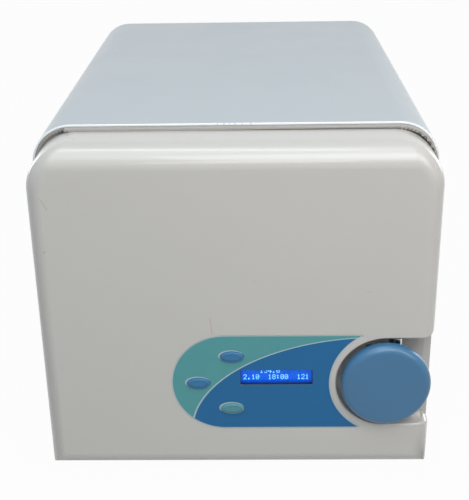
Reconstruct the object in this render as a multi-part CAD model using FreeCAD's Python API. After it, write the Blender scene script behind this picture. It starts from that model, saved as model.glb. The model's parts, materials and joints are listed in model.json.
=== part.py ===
import FreeCAD, Part
import math
import os

# Small front-loading bench steam autoclave with a full-height moulded door.
# Millimetres. X runs to the right, Y from front to back and Z up.
# The origin is on the bench, under the middle of the whole machine.

V = FreeCAD.Vector
along_y = V(0, 1, 0)
tiny = 1e-4
slip = 0.3           # gap that is left between pieces that must not rub
running = 0.05       # radial clearance of a shaft that turns or slides in its bore
screw_gap = 0.1      # radial clearance round a screw

# Door moulding
door_width = 335.0
door_height = 298.0
door_depth = 44.0
door_bottom = 10.0
door_wall = 3.0
door_top_corner = 38.0
door_bottom_corner = 6.0
door_top_round = 20.0
door_side_round = 14.0
liner_sheet = 2.5
liner_set_in = 0.5
door_post_r = 5.0
door_post_inset_x = 21.5
door_post_top = 24.0
door_post_foot = 20.0

# Knob, its pocket in the door and the screw that it turns
knob_x = 126.7
knob_z = 96.1
knob_r = 38.3
knob_thickness = 10.0
knob_proud = 9.0
knob_round = 6.5
knob_hub_r = 13.0
knob_socket = 5.0
pocket_r = 42.0
pocket_depth = 22.0
pocket_flare = 8.0
pocket_flare_past = 1.0
pocket_rim_round = 1.8
spindle_r = 6.0
spindle_tip = 1.5
lock_travel = 12.0
yoke_thickness = 12.0
yoke_half_width = 14.2
yoke_half_height = 24.0
yoke_round = 4.0
yoke_pin_r = 3.6
yoke_pin_offset = 10.5
yoke_pin_half = 38.0
yoke_opening_gap = 0.8
yoke_slot_gap = 2.4
clip_thickness = 1.2
clip_r = 9.5
clip_groove = 1.0
nut_r = 11.0
nut_flange_r = 15.5
nut_flange = 4.0

# Control panel in the door
label_left = -56.0
label_z = 96.4
label_height = 91.2
label_hollow_x = 130.3
label_hollow_r = 51.2
label_tip_round = 0.5
label_thickness = 0.4
label_recess = 0.5
label_border = 0.7
window_x = 33.6
window_z = 101.4
window_width = 62.0
window_height = 14.5
window_round = 1.0
glass_margin = 1.6
glass_thickness = 1.2
glass_depth = 3.6
bezel_width = 71.0
bezel_height = 26.0
bezel_front_gap = 0.3
module_width = 80.0
module_height = 34.0
module_board_depth = 11.4
board_sheet = 1.6
board_depth = 15.0
board_left = -50.0
board_right = 70.0
board_low = 55.0
board_high = 136.0
board_post_r = 3.5
board_post_inset = 5.0
chip_inset = 20.0
chip_rise = 12.0
chip_side = 25.0
chip_deep = 3.2
plug_long = 30.0
plug_high = 10.0
plug_deep = 9.6
key_width = 20.0
key_height = 10.2
key_gap = 0.35
key_proud = 1.4
key_chamfer = 0.8
key_flange = 2.0
key_flange_thickness = 2.0
key_stem_r = 2.0
key_travel = 1.0
tact_side = 6.0
tact_height = 4.3
key_places = {"key_upper": (-4.3, 121.8), "key_left": (-33.3, 96.1), "key_lower": (-4.3, 70.6)}

# Pressure lid on the cast arm inside the door
arm_thickness = 12.0
arm_rib = 4.5
arm_web = 5.0
arm_hub_r = 27.0
arm_hub_boss_r = 16.0
arm_lock_r = 18.0
arm_lock_boss_r = 13.0
arm_hinge_r = 12.5
arm_hinge_reach = 27.0
arm_screw_share = 0.56
lid_overlap = 13.0
lid_sheet = 3.0
lid_stand_off = 3.5
lid_dish = 5.0
lid_dish_inset = 20.0
lid_cone = 10.0
lid_lip = 3.0
lid_lip_depth = 4.0
seal_width = 9.0
lid_stud_r = 7.0
lid_washer_r = 13.0
lid_washer = 2.0
lid_nut_across = 21.0
lid_nut = 8.0
lid_stud_tail = 2.0

# Hinges
hinge_inset = 12.0
hinge_set_in = 10.0
hinge_offset = 52.0
hinge_lug = 12.0
hinge_ear = 6.0
hinge_pin_r = 3.5
hinge_pin_head_r = 5.0
hinge_pin_head = 2.0
knuckle_r = 7.0
bracket_width = 30.0
bracket_height = 42.0
bracket_plate = 5.0
door_swing = 105.0
swing_gap = 1.2

# Chamber and the plate that carries it
chamber_r = 105.0
chamber_wall = 2.0
chamber_length = 330.0
chamber_dish = 26.0
flange_rim = 18.0
flange_thickness = 8.0
flange_set_back = 14.0
flange_bolt_count = 8
port_r = 9.0
port_bore_r = 4.0
port_end = 14.0
service_room = 70.0
drain_port_drop = 60.0
valve_port_rise = 60.0
probe_port_offset = 50.0
bulkhead_sheet = 3.0
bulkhead_side_gap = 8.3
bulkhead_top_gap = 9.8
bulkhead_corner = 26.0
bulkhead_flange = 14.0
bulkhead_foot = 20.0
frame_wall = 3.0
frame_rim_gap = 0.6
frame_plate_set = 8.0
frame_side_gap = 0.9
frame_opening_gap = 5.0
frame_screw_r = 5.0

# Cabinet
cover_overhang = 2.0
cover_rise = 3.8
cover_gap = 8.0
cover_sheet = 1.2
cover_corner = 34.0
cover_front_lip = 1.8
cover_rear_lip = 12.0
cover_edge_round = 1.0
rear_set_in = 4.8
pan_sheet = 1.5
pan_flange = 22.0
foot_height = 12.0
foot_r = 14.0
foot_taper = 2.5
foot_recess_r = 6.0
foot_recess = 5.0
foot_inset_x = 34.5
foot_inset_y = 40.0
sheet_screw_r = 2.0
sheet_screw_head_r = 4.0
sheet_screw_head = 1.8
sheet_screw_length = 8.0
side_screw_shares = (0.15, 0.5, 0.85)
rear_screw_rise = 60.0
rear_screw_share = 0.7
vent_slot_width = 4.0
vent_slot_length = 46.0
vent_slot_pitch = 12.0
vent_slot_count = 7
vent_start = 110.0
vent_share = 0.3
louvre_share = 0.55
louvre_start = 12.0
louvre_pitch = 14.0
louvre_count = 6
louvre_r = 5.0
louvre_length = 52.0

# Fittings behind the chamber and on the back
heater_start = 80.0
heater_width = 160.0
heater_sheet = 2.5
heater_split = 12.0
heater_ear = 12.0
blanket_thickness = 13.0
blanket_gap = 8.0
cradle_sheet = 2.0
cradle_half_width = 90.0
cradle_from_end = 38.0
cradle_cut = 40.0
valve_body_r = 9.0
valve_hex = 22.0
valve_hex_length = 12.0
valve_reach = 14.0
valve_stem_r = 2.5
valve_cap_r = 7.0
valve_cap = 8.0
valve_lift = 2.0
valve_stem_free = 2.3
drain_bore_r = 2.5
drain_tail_r = 4.5
drain_tail = 14.0
drain_nut_across = 17.0
drain_nut = 5.0
drain_flange = 2.0
steam_valve_half = 13.0
steam_valve_neck = 5.0
solenoid_half = 14.0
solenoid_depth = 24.0
solenoid_height = 26.0
solenoid_lift = 2.0
solenoid_round = 4.0
solenoid_stem_r = 4.0
solenoid_stem = 34.0
probe_reach = 10.0
probe_hex = 7.0
probe_tail = 11.0
valve_cap_grooves = 8
valve_groove_r = 1.0
inlet_x = 112.0
service_z = 52.0
switch_x = 66.0
fuse_x = 22.0
fuse_pitch = 20.0

# Mains inlet, switch and fuses, as bought
inlet_body_w = 27.4
inlet_body_h = 19.8
inlet_flange_w = 31.0
inlet_flange_h = 24.0
inlet_flange = 3.0
inlet_deep = 22.0
inlet_recess_w = 24.4
inlet_recess_h = 16.6
inlet_recess = 16.0
blade_w = 2.0
blade_h = 4.0
blade_pitch = 7.0
blade_rise = 2.0
blade_short = 3.0
switch_body_w = 13.2
switch_body_h = 19.6
switch_flange_w = 15.0
switch_flange_h = 21.4
switch_flange = 2.0
switch_deep = 20.0
switch_room_w = 11.0
switch_room_h = 17.4
switch_room = 10.0
rocker_w = 10.2
rocker_half = 7.4
rocker_rise = 5.2
rocker_dip = 3.4
rocker_deep = 5.0
rocker_tilt = 9.0
fuse_body_r = 6.2
fuse_flange_r = 8.0
fuse_cap_r = 5.6
fuse_cap = 6.0
fuse_flange = 2.0
fuse_deep = 30.0
drain_stem_r = 6.0
fuse_slot_depth = 1.5
fuse_slot_half = 0.7
rocker_pin_r = 1.2
rocker_pin_reach = 1.2

# Rack and trays inside the chamber
rack_side_gap = 23.0
rack_sheet = 1.2
rack_rest_gap = 0.49
rack_high = 45.0
rack_strip_rise = 4.8
rack_ledge = 6.0
rack_front_gap = 22.0
rack_length = 280.0
tray_gap = 0.4
tray_sheet = 1.0
tray_wall = 12.0
tray_levels = (-50.0, -17.0, 16.0)
tray_end_gap = 5.0
tray_corner = 8.0
tray_slot_width = 5.0
tray_slot_half = 26.0
tray_slot_x = 38.0
tray_slot_pitch = 27.0
tray_slot_start = 25.0
tray_slot_count = 9
rack_strip_width = 20.0
rack_strip_inset = 10.0
rack_window_gap = 20.0
rack_window_count = 3
rack_window_rise = 4.0
rack_window_height = 18.0

# Transformer and power board under the chamber
power_wide = 88.0
power_long = 190.0
power_side_gap = 13.5
power_start = 60.0
power_rise = 8.0
power_post_inset = 5.0
power_post_r = 3.0
transformer_side_gap = 17.5
transformer_wide = 56.0
transformer_long = 62.0
transformer_tall = 46.0
transformer_lip = 8.0
window_share_across = 0.22
window_share_up = 0.24
coil_overhang = 6.0
coil_round = 3.0

# Worked out from the values above
door_half = door_width / 2
door_top = door_bottom + door_height
axis_z = door_bottom + door_height / 2
cover_half = door_half + cover_overhang
cover_top = door_top + cover_rise
cover_length = flange_set_back - cover_gap + chamber_length + chamber_dish + chamber_wall + service_room
rear_reach = max(valve_reach + valve_stem_free + valve_cap, drain_nut + drain_tail)
overall_depth = knob_proud + door_depth + cover_gap + cover_length - rear_set_in + rear_reach
face_y = knob_proud - overall_depth / 2
door_back = face_y + door_depth
cover_front = door_back + cover_gap
cover_back = cover_front + cover_length
rear_y = cover_back - rear_set_in
panel_front = rear_y - cover_sheet
liner_back = door_back - liner_set_in
liner_front = liner_back - liner_sheet
arm_back = liner_front
arm_front = arm_back - arm_thickness
flange_front = door_back + flange_set_back
flange_back = flange_front + flange_thickness
bulkhead_back = flange_back + bulkhead_sheet
chamber_back = flange_front + chamber_length
chamber_end_y = chamber_back + chamber_dish + chamber_wall
pan_low = foot_height
pan_top = pan_low + pan_sheet
hinge_x = -door_half + hinge_inset
hinge_y = door_back - hinge_set_in
floor_y = face_y + pocket_depth
knob_face = face_y - knob_proud
knob_back = knob_face + knob_thickness
yoke_back = arm_front - slip - lock_travel
yoke_front = yoke_back - yoke_thickness
yoke_mid = (yoke_front + yoke_back) / 2
spindle_end = flange_front - cover_gap - slip
nut_front = spindle_end + slip
lid_front = door_back + lid_stand_off
lid_r = chamber_r + lid_overlap
lid_dish_r = chamber_r - lid_dish_inset
flange_r = chamber_r + chamber_wall + flange_rim
rack_half = chamber_r - rack_side_gap
rack_low = -math.sqrt((chamber_r - rack_rest_gap) ** 2 - rack_half ** 2)
rack_strip = rack_low + rack_strip_rise
seal_back = flange_front - slip


def block(x0, x1, y0, y1, z0, z1):
    return Part.makeBox(x1 - x0, y1 - y0, z1 - z0, V(x0, y0, z0))


def rod_y(x, z, r, y0, y1):
    return Part.makeCylinder(r, y1 - y0, V(x, y0, z), along_y)


def rod_z(x, y, r, z0, z1):
    return Part.makeCylinder(r, z1 - z0, V(x, y, z0))


def turned(points, x, z):
    # A solid of revolution about an axis along Y; the points are (radius, y).
    corners = [V(r, y, 0) for r, y in points]
    wire = Part.makePolygon(corners + corners[:1])
    solid = Part.Face(wire).revolve(V(0, 0, 0), along_y, 360)
    solid.translate(V(x, 0, z))
    return solid


def prism(points, y0, y1):
    # A prism along Y on a polygon of (x, z) corners.
    corners = [V(x, y0, z) for x, z in points]
    wire = Part.makePolygon(corners + corners[:1])
    return Part.Face(wire).extrude(V(0, y1 - y0, 0))


def hexagon(x, z, across, y0, y1):
    r = across / math.sqrt(3)
    turns = [math.radians(60 * k) for k in range(6)]
    return prism([(x + r * math.cos(a), z + r * math.sin(a)) for a in turns], y0, y1)


def without(shape, cuts):
    for cut in cuts:
        shape = shape.cut(cut)
    return shape


def joined(shapes):
    whole = shapes[0]
    for shape in shapes[1:]:
        whole = whole.fuse(shape)
    return whole.removeSplitter()


def runs_along(edge, axis):
    box = edge.BoundBox
    lengths = {"x": box.XLength, "y": box.YLength, "z": box.ZLength}
    return lengths.pop(axis) > tiny and max(lengths.values()) < tiny


def rounded(shape, radius, pick):
    return shape.makeFillet(radius, [edge for edge in shape.Edges if pick(edge)])


def rounded_plate(half, z0, z1, y0, y1, top_r, bottom_r):
    # An upright plate, the same each side of the middle, with round corners.
    plate = block(-half, half, y0, y1, z0, z1)
    middle = (z0 + z1) / 2
    if top_r > 0:
        plate = rounded(plate, top_r, lambda e: runs_along(e, "y") and e.BoundBox.ZMin > middle)
    if bottom_r > 0:
        plate = rounded(plate, bottom_r, lambda e: runs_along(e, "y") and e.BoundBox.ZMax < z0 + tiny)
    return plate


def screw(seat, way, shank_r, length, head_r, head):
    shank = Part.makeCylinder(shank_r, length, seat, way)
    return shank.fuse(Part.makeCylinder(head_r, head, seat, way * -1)).removeSplitter()


def sheet_screw(seat, way):
    return screw(seat, way, sheet_screw_r, sheet_screw_length, sheet_screw_head_r, sheet_screw_head)


def oval(x, z, width, height, y0, y1):
    edge = Part.Ellipse(V(0, 0, 0), width / 2, height / 2).toShape()
    solid = Part.Face(Part.Wire(edge)).extrude(V(0, 0, y1 - y0))
    solid.rotate(V(0, 0, 0), V(1, 0, 0), -90)
    solid.translate(V(x, y0, z))
    return solid


def tapered_link(x1, z1, r1, x2, z2, r2, y0, y1):
    # A bar whose outline is two circles and the two lines that touch both.
    span = math.hypot(x2 - x1, z2 - z1)
    heading = math.atan2(z2 - z1, x2 - x1)
    lean = math.acos((r1 - r2) / span)
    touch = []
    for side in (1, -1):
        turn = heading + side * lean
        pair = [(x1 + r1 * math.cos(turn), z1 + r1 * math.sin(turn)),
                (x2 + r2 * math.cos(turn), z2 + r2 * math.sin(turn))]
        touch += pair if side > 0 else pair[::-1]
    bar = prism(touch, y0, y1)
    return joined([bar, rod_y(x1, z1, r1, y0, y1), rod_y(x2, z2, r2, y0, y1)])


def hinge_heights():
    return (axis_z - hinge_offset, axis_z + hinge_offset)


def upper_door(inset, y_back):
    # Round corners seen from the front, and a deeper round along the top than at the sides.
    half = door_half - inset
    high = door_top - inset
    front = face_y + inset
    corner = door_top_corner - inset
    top_round = door_top_round - inset
    profile = rounded(block(-half, half, front, y_back, axis_z, high), top_round,
                      lambda e: runs_along(e, "x") and e.BoundBox.YMax < front + tiny
                      and e.BoundBox.ZMin > high - tiny)
    body = rounded_plate(half, axis_z, high, front, y_back, corner, 0).common(profile).removeSplitter()

    def side_edge(edge):
        box = edge.BoundBox
        beside = min(abs(box.XMin), abs(box.XMax)) > half - corner - tiny and box.XMin * box.XMax > 0
        facing = box.YMax < front + tiny or box.YLength > tiny
        return beside and facing and box.YMax < front + top_round + tiny and box.ZLength > tiny

    return rounded(body, door_side_round - inset, side_edge)


def lower_door(inset, y_back):
    # Crisper corners below, where the side and bottom rounds meet in a mitre.
    half = door_half - inset
    low = door_bottom + inset
    front = face_y + inset
    slab = block(-half, half, front, y_back, low, axis_z)

    def at_front(edge, axis):
        return runs_along(edge, axis) and edge.BoundBox.YMax < front + tiny

    sides = rounded(slab, door_side_round - inset, lambda e: at_front(e, "z"))
    bottom = rounded(slab, door_side_round - inset,
                     lambda e: at_front(e, "x") and e.BoundBox.ZMax < low + tiny)
    corners = rounded(slab, door_bottom_corner - inset,
                      lambda e: runs_along(e, "y") and e.BoundBox.ZMax < low + tiny)
    return corners.common(sides).common(bottom).removeSplitter()


def door_block(inset, y_back):
    # The door's rounded block; inset makes the hollow one wall smaller all round.
    return joined([upper_door(inset, y_back), lower_door(inset, y_back)])


def pocket_block(grow, y0, y1):
    # The knob's pocket: round at the left, flared where it runs out of the door's side.
    high = knob_z + pocket_r + grow
    low = knob_z - pocket_r - grow
    side = door_half + pocket_flare_past
    turn = side - pocket_flare
    mid = pocket_flare * math.sqrt(0.5)
    out = side + door_width / 10

    def at(x, z):
        return V(x, y0, z)

    edges = [
        Part.makeLine(at(knob_x, high), at(turn, high)),
        Part.Arc(at(turn, high), at(turn + mid, high + pocket_flare - mid),
                 at(side, high + pocket_flare)).toShape(),
        Part.makeLine(at(side, high + pocket_flare), at(out, high + pocket_flare)),
        Part.makeLine(at(out, high + pocket_flare), at(out, low - pocket_flare)),
        Part.makeLine(at(out, low - pocket_flare), at(side, low - pocket_flare)),
        Part.Arc(at(side, low - pocket_flare), at(turn + mid, low - pocket_flare + mid),
                 at(turn, low)).toShape(),
        Part.makeLine(at(turn, low), at(knob_x, low)),
        Part.Arc(at(knob_x, low), at(knob_x - pocket_r - grow, knob_z), at(knob_x, high)).toShape(),
    ]
    return Part.Face(Part.Wire(edges)).extrude(V(0, y1 - y0, 0))


def label_outline(grow, y0, y1):
    # Half round at the left, hollowed at the right to run round the knob's pocket.
    end_r = label_height / 2 + grow
    left_x = label_left + label_height / 2
    body = block(left_x, label_hollow_x, y0, y1, label_z - end_r, label_z + end_r)
    body = joined([body, rod_y(left_x, label_z, end_r, y0, y1)])
    body = body.cut(rod_y(label_hollow_x, label_z, label_hollow_r - grow, y0 - 1, y1 + 1))
    tip_x = label_hollow_x - label_hollow_r / 2
    return rounded(body, label_tip_round + grow,
                   lambda e: runs_along(e, "y") and e.BoundBox.XMin > tip_x - grow)


def window_cut(grow, y0, y1):
    half = window_width / 2 + grow
    tall = window_height / 2 + grow
    hole = block(window_x - half, window_x + half, y0, y1, window_z - tall, window_z + tall)
    return rounded(hole, window_round, lambda e: runs_along(e, "y"))


def key_cuts(grow, y0, y1):
    return [oval(x, z, key_width + 2 * grow, key_height + 2 * grow, y0, y1)
            for x, z in key_places.values()]


def hinge_notches():
    # Room for the fixed lugs, which sweep from the back round to the left as the door opens.
    over = math.radians(door_swing - 90)
    reach = hinge_inset * math.tan(over) + knuckle_r / math.cos(over) + swing_gap
    tall = hinge_lug / 2 + swing_gap
    return [block(-door_half - 1, hinge_x + knuckle_r + swing_gap, hinge_y - reach, door_back + 1,
                  z - tall, z + tall) for z in hinge_heights()]


def door_post_places():
    x = door_half - door_post_inset_x
    return [(side * x, z) for side in (-1, 1)
            for z in (door_bottom + door_post_foot, door_top - door_post_top)]


def board_post_places():
    xs = (board_left + board_post_inset, board_right - board_post_inset)
    zs = (board_low + board_post_inset, board_high - board_post_inset)
    return [(x, z) for x in xs for z in zs]


def arm_screw_places():
    # On the three beams, part of the way out from the lid.
    places = []
    for x, z in [(knob_x, knob_z)] + [(hinge_x + arm_hinge_reach, z) for z in hinge_heights()]:
        places.append((x * arm_screw_share, axis_z + (z - axis_z) * arm_screw_share))
    return places


def yoke_opening(y0, y1):
    gap = yoke_opening_gap
    wide = yoke_half_width + gap
    tall = yoke_half_height + gap
    pin_x = knob_x + yoke_pin_offset
    body = block(knob_x - wide, knob_x + wide, y0, y1, knob_z - tall, knob_z + tall)
    slot_tall = yoke_pin_half + gap
    slot = block(pin_x - yoke_pin_r - yoke_slot_gap, knob_x + wide, y0, y1,
                 knob_z - slot_tall, knob_z + slot_tall)
    return joined([body, slot])


def door_cover():
    outer = door_block(0, door_back)
    hollow = door_block(door_wall, door_back + door_depth)
    walls = pocket_block(door_wall, face_y, floor_y + door_wall).common(outer)
    shell = outer.cut(hollow).fuse(walls)
    shell = shell.cut(pocket_block(0, face_y - 1, floor_y)).removeSplitter()

    def on_pocket_rim(edge):
        box = edge.BoundBox
        reach = pocket_r + pocket_flare
        level = box.ZMin > knob_z - reach and box.ZMax < knob_z + reach
        return box.YMax < face_y + tiny and box.XMin > knob_x - pocket_r - 1 and level

    shell = rounded(shell, pocket_rim_round, on_pocket_rim)
    inside = face_y + door_wall - 1
    posts = [rod_y(x, z, door_post_r, inside, liner_front) for x, z in door_post_places()]
    posts += [rod_y(x, z, board_post_r, inside, face_y + board_depth) for x, z in board_post_places()]
    shell = joined([shell] + posts)
    hole_r = sheet_screw_r + screw_gap
    cuts = [rod_y(x, z, hole_r, liner_front - 2 * sheet_screw_length, door_back)
            for x, z in door_post_places()]
    cuts += [rod_y(x, z, hole_r, face_y + board_depth - sheet_screw_length, face_y + board_depth + 1)
             for x, z in board_post_places()]
    cuts.append(label_outline(label_border, face_y - 1, face_y + label_recess))
    cuts.append(window_cut(0, face_y - 1, face_y + door_wall + 1))
    cuts += key_cuts(key_gap, face_y - 1, face_y + door_wall + 1)
    cuts.append(yoke_opening(floor_y - 1, floor_y + door_wall + 1))
    cuts += hinge_notches()
    return without(shell, cuts)


def door_liner():
    gap = door_wall + slip
    plate = rounded_plate(door_half - gap, door_bottom + gap, door_top - gap, liner_front, liner_back,
                          door_top_corner - gap, door_bottom_corner - gap)
    cuts = [rod_y(0, axis_z, lid_stud_r + 2 * slip, liner_front - 1, liner_back + 1),
            rod_y(knob_x, knob_z, spindle_r + 2 * slip, liner_front - 1, liner_back + 1)]
    cuts += [rod_y(x, z, sheet_screw_r + screw_gap, liner_front - 1, liner_back + 1)
             for x, z in door_post_places() + arm_screw_places()]
    return without(plate, cuts + hinge_notches())


def liner_screws():
    return [sheet_screw(V(x, liner_back, z), V(0, -1, 0)) for x, z in door_post_places() + arm_screw_places()]


def arm_beams(shrink, y0, y1):
    ends = [(knob_x, knob_z, arm_lock_r)]
    ends += [(hinge_x + arm_hinge_reach, z, arm_hinge_r) for z in hinge_heights()]
    return [tapered_link(0, axis_z, arm_hub_r - shrink, x, z, r - shrink, y0, y1) for x, z, r in ends]


def door_arm():
    # Cast arm: ribbed beams from the lid's hub to the two hinges and to the closing screw.
    body = joined(arm_beams(0, arm_front, arm_back))
    channel = joined(arm_beams(arm_rib, arm_front - 1, arm_back - arm_web))
    body = body.cut(channel)
    bosses = [rod_y(0, axis_z, arm_hub_boss_r, arm_front, arm_back),
              rod_y(knob_x, knob_z, arm_lock_boss_r, arm_front, arm_back)]
    bosses += [rod_y(x, z, door_post_r, arm_front + arm_web, arm_back) for x, z in arm_screw_places()]
    near = hinge_y - knuckle_r
    for z in hinge_heights():
        inner = hinge_lug / 2 + slip
        for low in (z - inner - hinge_ear, z + inner):
            ear = block(hinge_x, hinge_x + arm_hinge_reach, near, arm_back, low, low + hinge_ear)
            bosses.append(ear)
            bosses.append(rod_z(hinge_x, hinge_y, knuckle_r, low, low + hinge_ear))
    body = joined([body] + bosses)
    tall = hinge_lug / 2 + slip
    clear = knuckle_r + swing_gap
    cuts = [rod_z(hinge_x, hinge_y, clear, z - tall, z + tall) for z in hinge_heights()]
    cuts += [rod_z(hinge_x, hinge_y, hinge_pin_r + running, z - door_depth, z + door_depth)
             for z in hinge_heights()]
    cuts.append(rod_y(0, axis_z, lid_stud_r + screw_gap, arm_front - 1, arm_back + 1))
    cuts.append(rod_y(knob_x, knob_z, spindle_r + running, arm_front - 1, arm_back + 1))
    cuts += [rod_y(x, z, sheet_screw_r + screw_gap, arm_front - 1, arm_back + 1)
             for x, z in arm_screw_places()]
    return without(body, cuts)


def pressure_lid():
    rim = lid_front + lid_sheet
    dish = lid_front + lid_dish
    cone_r = lid_dish_r + lid_cone
    lip = rim + lid_lip_depth
    points = [(0, dish), (lid_dish_r, dish), (cone_r, lid_front), (lid_r, lid_front), (lid_r, lip),
              (lid_r - lid_lip, lip), (lid_r - lid_lip, rim), (cone_r, rim),
              (lid_dish_r, dish + lid_sheet), (0, dish + lid_sheet)]
    return turned(points, 0, axis_z)


def door_seal():
    outer = lid_r - lid_lip - slip
    inner = outer - seal_width
    start = lid_front + lid_sheet
    third = seal_width / 3
    points = [(inner, start), (outer, start), (outer, seal_back - third), (outer - third, seal_back),
              (inner + third, seal_back), (inner, seal_back - third)]
    return turned(points, 0, axis_z)


def lid_stud():
    tip = arm_front - lid_washer - lid_nut - lid_stud_tail
    return rod_y(0, axis_z, lid_stud_r, tip, lid_front + lid_dish)


def lid_washer_ring():
    ring = rod_y(0, axis_z, lid_washer_r, arm_front - lid_washer, arm_front)
    return ring.cut(rod_y(0, axis_z, lid_stud_r + screw_gap, arm_front - lid_washer - 1, arm_front + 1))


def lid_hex_nut():
    back = arm_front - lid_washer
    nut = hexagon(0, axis_z, lid_nut_across, back - lid_nut, back)
    return nut.cut(rod_y(0, axis_z, lid_stud_r + screw_gap, back - lid_nut - 1, back + 1))


def knob_disc():
    points = [(0, knob_face), (knob_r, knob_face), (knob_r, knob_back), (knob_hub_r, knob_back),
              (knob_hub_r, yoke_front - slip), (0, yoke_front - slip)]
    disc = turned(points, knob_x, knob_z)

    def front_rim(edge):
        box = edge.BoundBox
        return box.YMax < knob_face + tiny and box.XLength > knob_r

    disc = rounded(disc, knob_round, front_rim)
    return disc.cut(rod_y(knob_x, knob_z, spindle_r, knob_face + knob_socket, yoke_front))


def spindle():
    start = knob_face + knob_socket
    groove = yoke_back - 2 * slip - clip_thickness
    points = [(0, start), (spindle_r, start), (spindle_r, groove), (spindle_r - clip_groove, groove),
              (spindle_r - clip_groove, groove + clip_thickness), (spindle_r, groove + clip_thickness),
              (spindle_r, spindle_end - spindle_tip), (spindle_r - spindle_tip, spindle_end),
              (0, spindle_end)]
    return turned(points, knob_x, knob_z)


def spindle_clip():
    back = yoke_back - 2 * slip
    ring = rod_y(knob_x, knob_z, clip_r, back - clip_thickness, back)
    return ring.cut(rod_y(knob_x, knob_z, spindle_r - clip_groove, back - clip_thickness - 1, back + 1))


def lock_yoke():
    body = block(knob_x - yoke_half_width, knob_x + yoke_half_width, yoke_front, yoke_back,
                 knob_z - yoke_half_height, knob_z + yoke_half_height)
    body = rounded(body, yoke_round, lambda e: runs_along(e, "y"))
    clip_room = yoke_back - 3 * slip - clip_thickness
    cuts = [rod_y(knob_x, knob_z, spindle_r + running, yoke_front - 1, yoke_back + 1),
            rod_y(knob_x, knob_z, clip_r + slip, clip_room, yoke_back + 1),
            rod_z(knob_x + yoke_pin_offset, yoke_mid, yoke_pin_r, knob_z - yoke_pin_half,
                  knob_z + yoke_pin_half)]
    return without(body, cuts)


def yoke_pin():
    pin = rod_z(knob_x + yoke_pin_offset, yoke_mid, yoke_pin_r, knob_z - yoke_pin_half,
                knob_z + yoke_pin_half)
    return pin.makeChamfer(yoke_pin_r / 5, [e for e in pin.Edges if e.BoundBox.ZLength < tiny])


def lock_nut():
    points = [(spindle_r + running, nut_front), (nut_r, nut_front), (nut_r, flange_back - nut_flange),
              (nut_flange_r, flange_back - nut_flange), (nut_flange_r, flange_back), (nut_r, flange_back),
              (nut_r, bulkhead_back), (spindle_r + running, bulkhead_back)]
    return turned(points, knob_x, knob_z)


def panel_label():
    back = face_y + label_recess
    label = label_outline(0, back - label_thickness, back)
    cuts = key_cuts(key_gap, back - 1, back + 1)
    cuts.append(window_cut(0, back - 1, back + 1))
    return without(label, cuts)


def display_glass():
    half = window_width / 2 + glass_margin
    tall = window_height / 2 + glass_margin
    front = face_y + glass_depth
    return block(window_x - half, window_x + half, front, front + glass_thickness,
                 window_z - tall, window_z + tall)


def display_module():
    front = face_y + door_wall + bezel_front_gap
    board = face_y + module_board_depth
    half = bezel_width / 2
    tall = bezel_height / 2
    body = block(window_x - half, window_x + half, front, board, window_z - tall, window_z + tall)
    seat_half = window_width / 2 + glass_margin + screw_gap
    seat_tall = window_height / 2 + glass_margin + screw_gap
    body = body.cut(block(window_x - seat_half, window_x + seat_half, front - 1,
                          face_y + glass_depth + glass_thickness,
                          window_z - seat_tall, window_z + seat_tall))
    wide = module_width / 2
    high = module_height / 2
    sheet = block(window_x - wide, window_x + wide, board, board + board_sheet,
                  window_z - high, window_z + high)
    inset = board_post_inset / 2
    pillars = [rod_y(window_x + sx * (wide - inset), window_z + sz * (high - inset), key_stem_r,
                     board, face_y + board_depth) for sx in (-1, 1) for sz in (-1, 1)]
    return joined([body, sheet] + pillars)


def control_board():
    front = face_y + board_depth
    back = front + board_sheet
    sheet = block(board_left, board_right, front, back, board_low, board_high)
    chip = block(board_left + chip_inset, board_left + chip_inset + chip_side, back, back + chip_deep,
                 board_low + chip_rise, board_low + chip_rise + chip_side / 2)
    plug = block(board_right - chip_inset - plug_long, board_right - chip_inset, back, back + plug_deep,
                 board_low + chip_rise, board_low + chip_rise + plug_high)
    cuts = [rod_y(x, z, sheet_screw_r + screw_gap, front - 1, back + 1)
            for x, z in board_post_places()]
    return without(joined([sheet, chip, plug]), cuts)


def board_screws():
    back = face_y + board_depth + board_sheet
    return [sheet_screw(V(x, back, z), V(0, -1, 0)) for x, z in board_post_places()]


def tact_switches():
    back = face_y + board_depth
    half = tact_side / 2
    return [block(x - half, x + half, back - tact_height, back, z - half, z + half)
            for x, z in key_places.values()]


def key_cap(x, z):
    inside = face_y + door_wall + slip
    cap = oval(x, z, key_width, key_height, face_y - key_proud, inside)
    cap = cap.makeChamfer(key_chamfer, [e for e in cap.Edges if e.BoundBox.YMax < face_y - key_proud + tiny])
    flange = oval(x, z, key_width + 2 * key_flange, key_height + 2 * key_flange, inside,
                  inside + key_flange_thickness)
    switch = face_y + board_depth - tact_height
    stem = rod_y(x, z, key_stem_r, inside, switch - key_travel - slip / 2)
    return joined([cap, flange, stem])


def hinge_bracket(z):
    tall = hinge_lug / 2
    plate_front = flange_back - bracket_plate
    lug = block(hinge_x - knuckle_r, hinge_x + knuckle_r, hinge_y, plate_front + 1, z - tall, z + tall)
    nose = rod_z(hinge_x, hinge_y, knuckle_r, z - tall, z + tall)
    left = hinge_x - knuckle_r
    plate = block(left, left + bracket_width, plate_front, flange_back,
                  z - bracket_height / 2, z + bracket_height / 2)
    body = joined([lug, nose, plate])
    cuts = [rod_z(hinge_x, hinge_y, hinge_pin_r, z - tall - 1, z + tall + 1)]
    cuts += [rod_y(x, zz, sheet_screw_r + screw_gap, plate_front - 1, flange_back + 1)
             for x, zz in bracket_screw_places(z)]
    return without(body, cuts)


def bracket_screw_places(z):
    x = hinge_x - knuckle_r + bracket_width - 2 * sheet_screw_head_r
    rise = bracket_height / 2 - 1.5 * sheet_screw_head_r
    return [(x, z - rise), (x, z + rise)]


def hinge_bolts():
    return [sheet_screw(V(x, flange_back - bracket_plate, zz), along_y)
            for z in hinge_heights() for x, zz in bracket_screw_places(z)]


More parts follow.
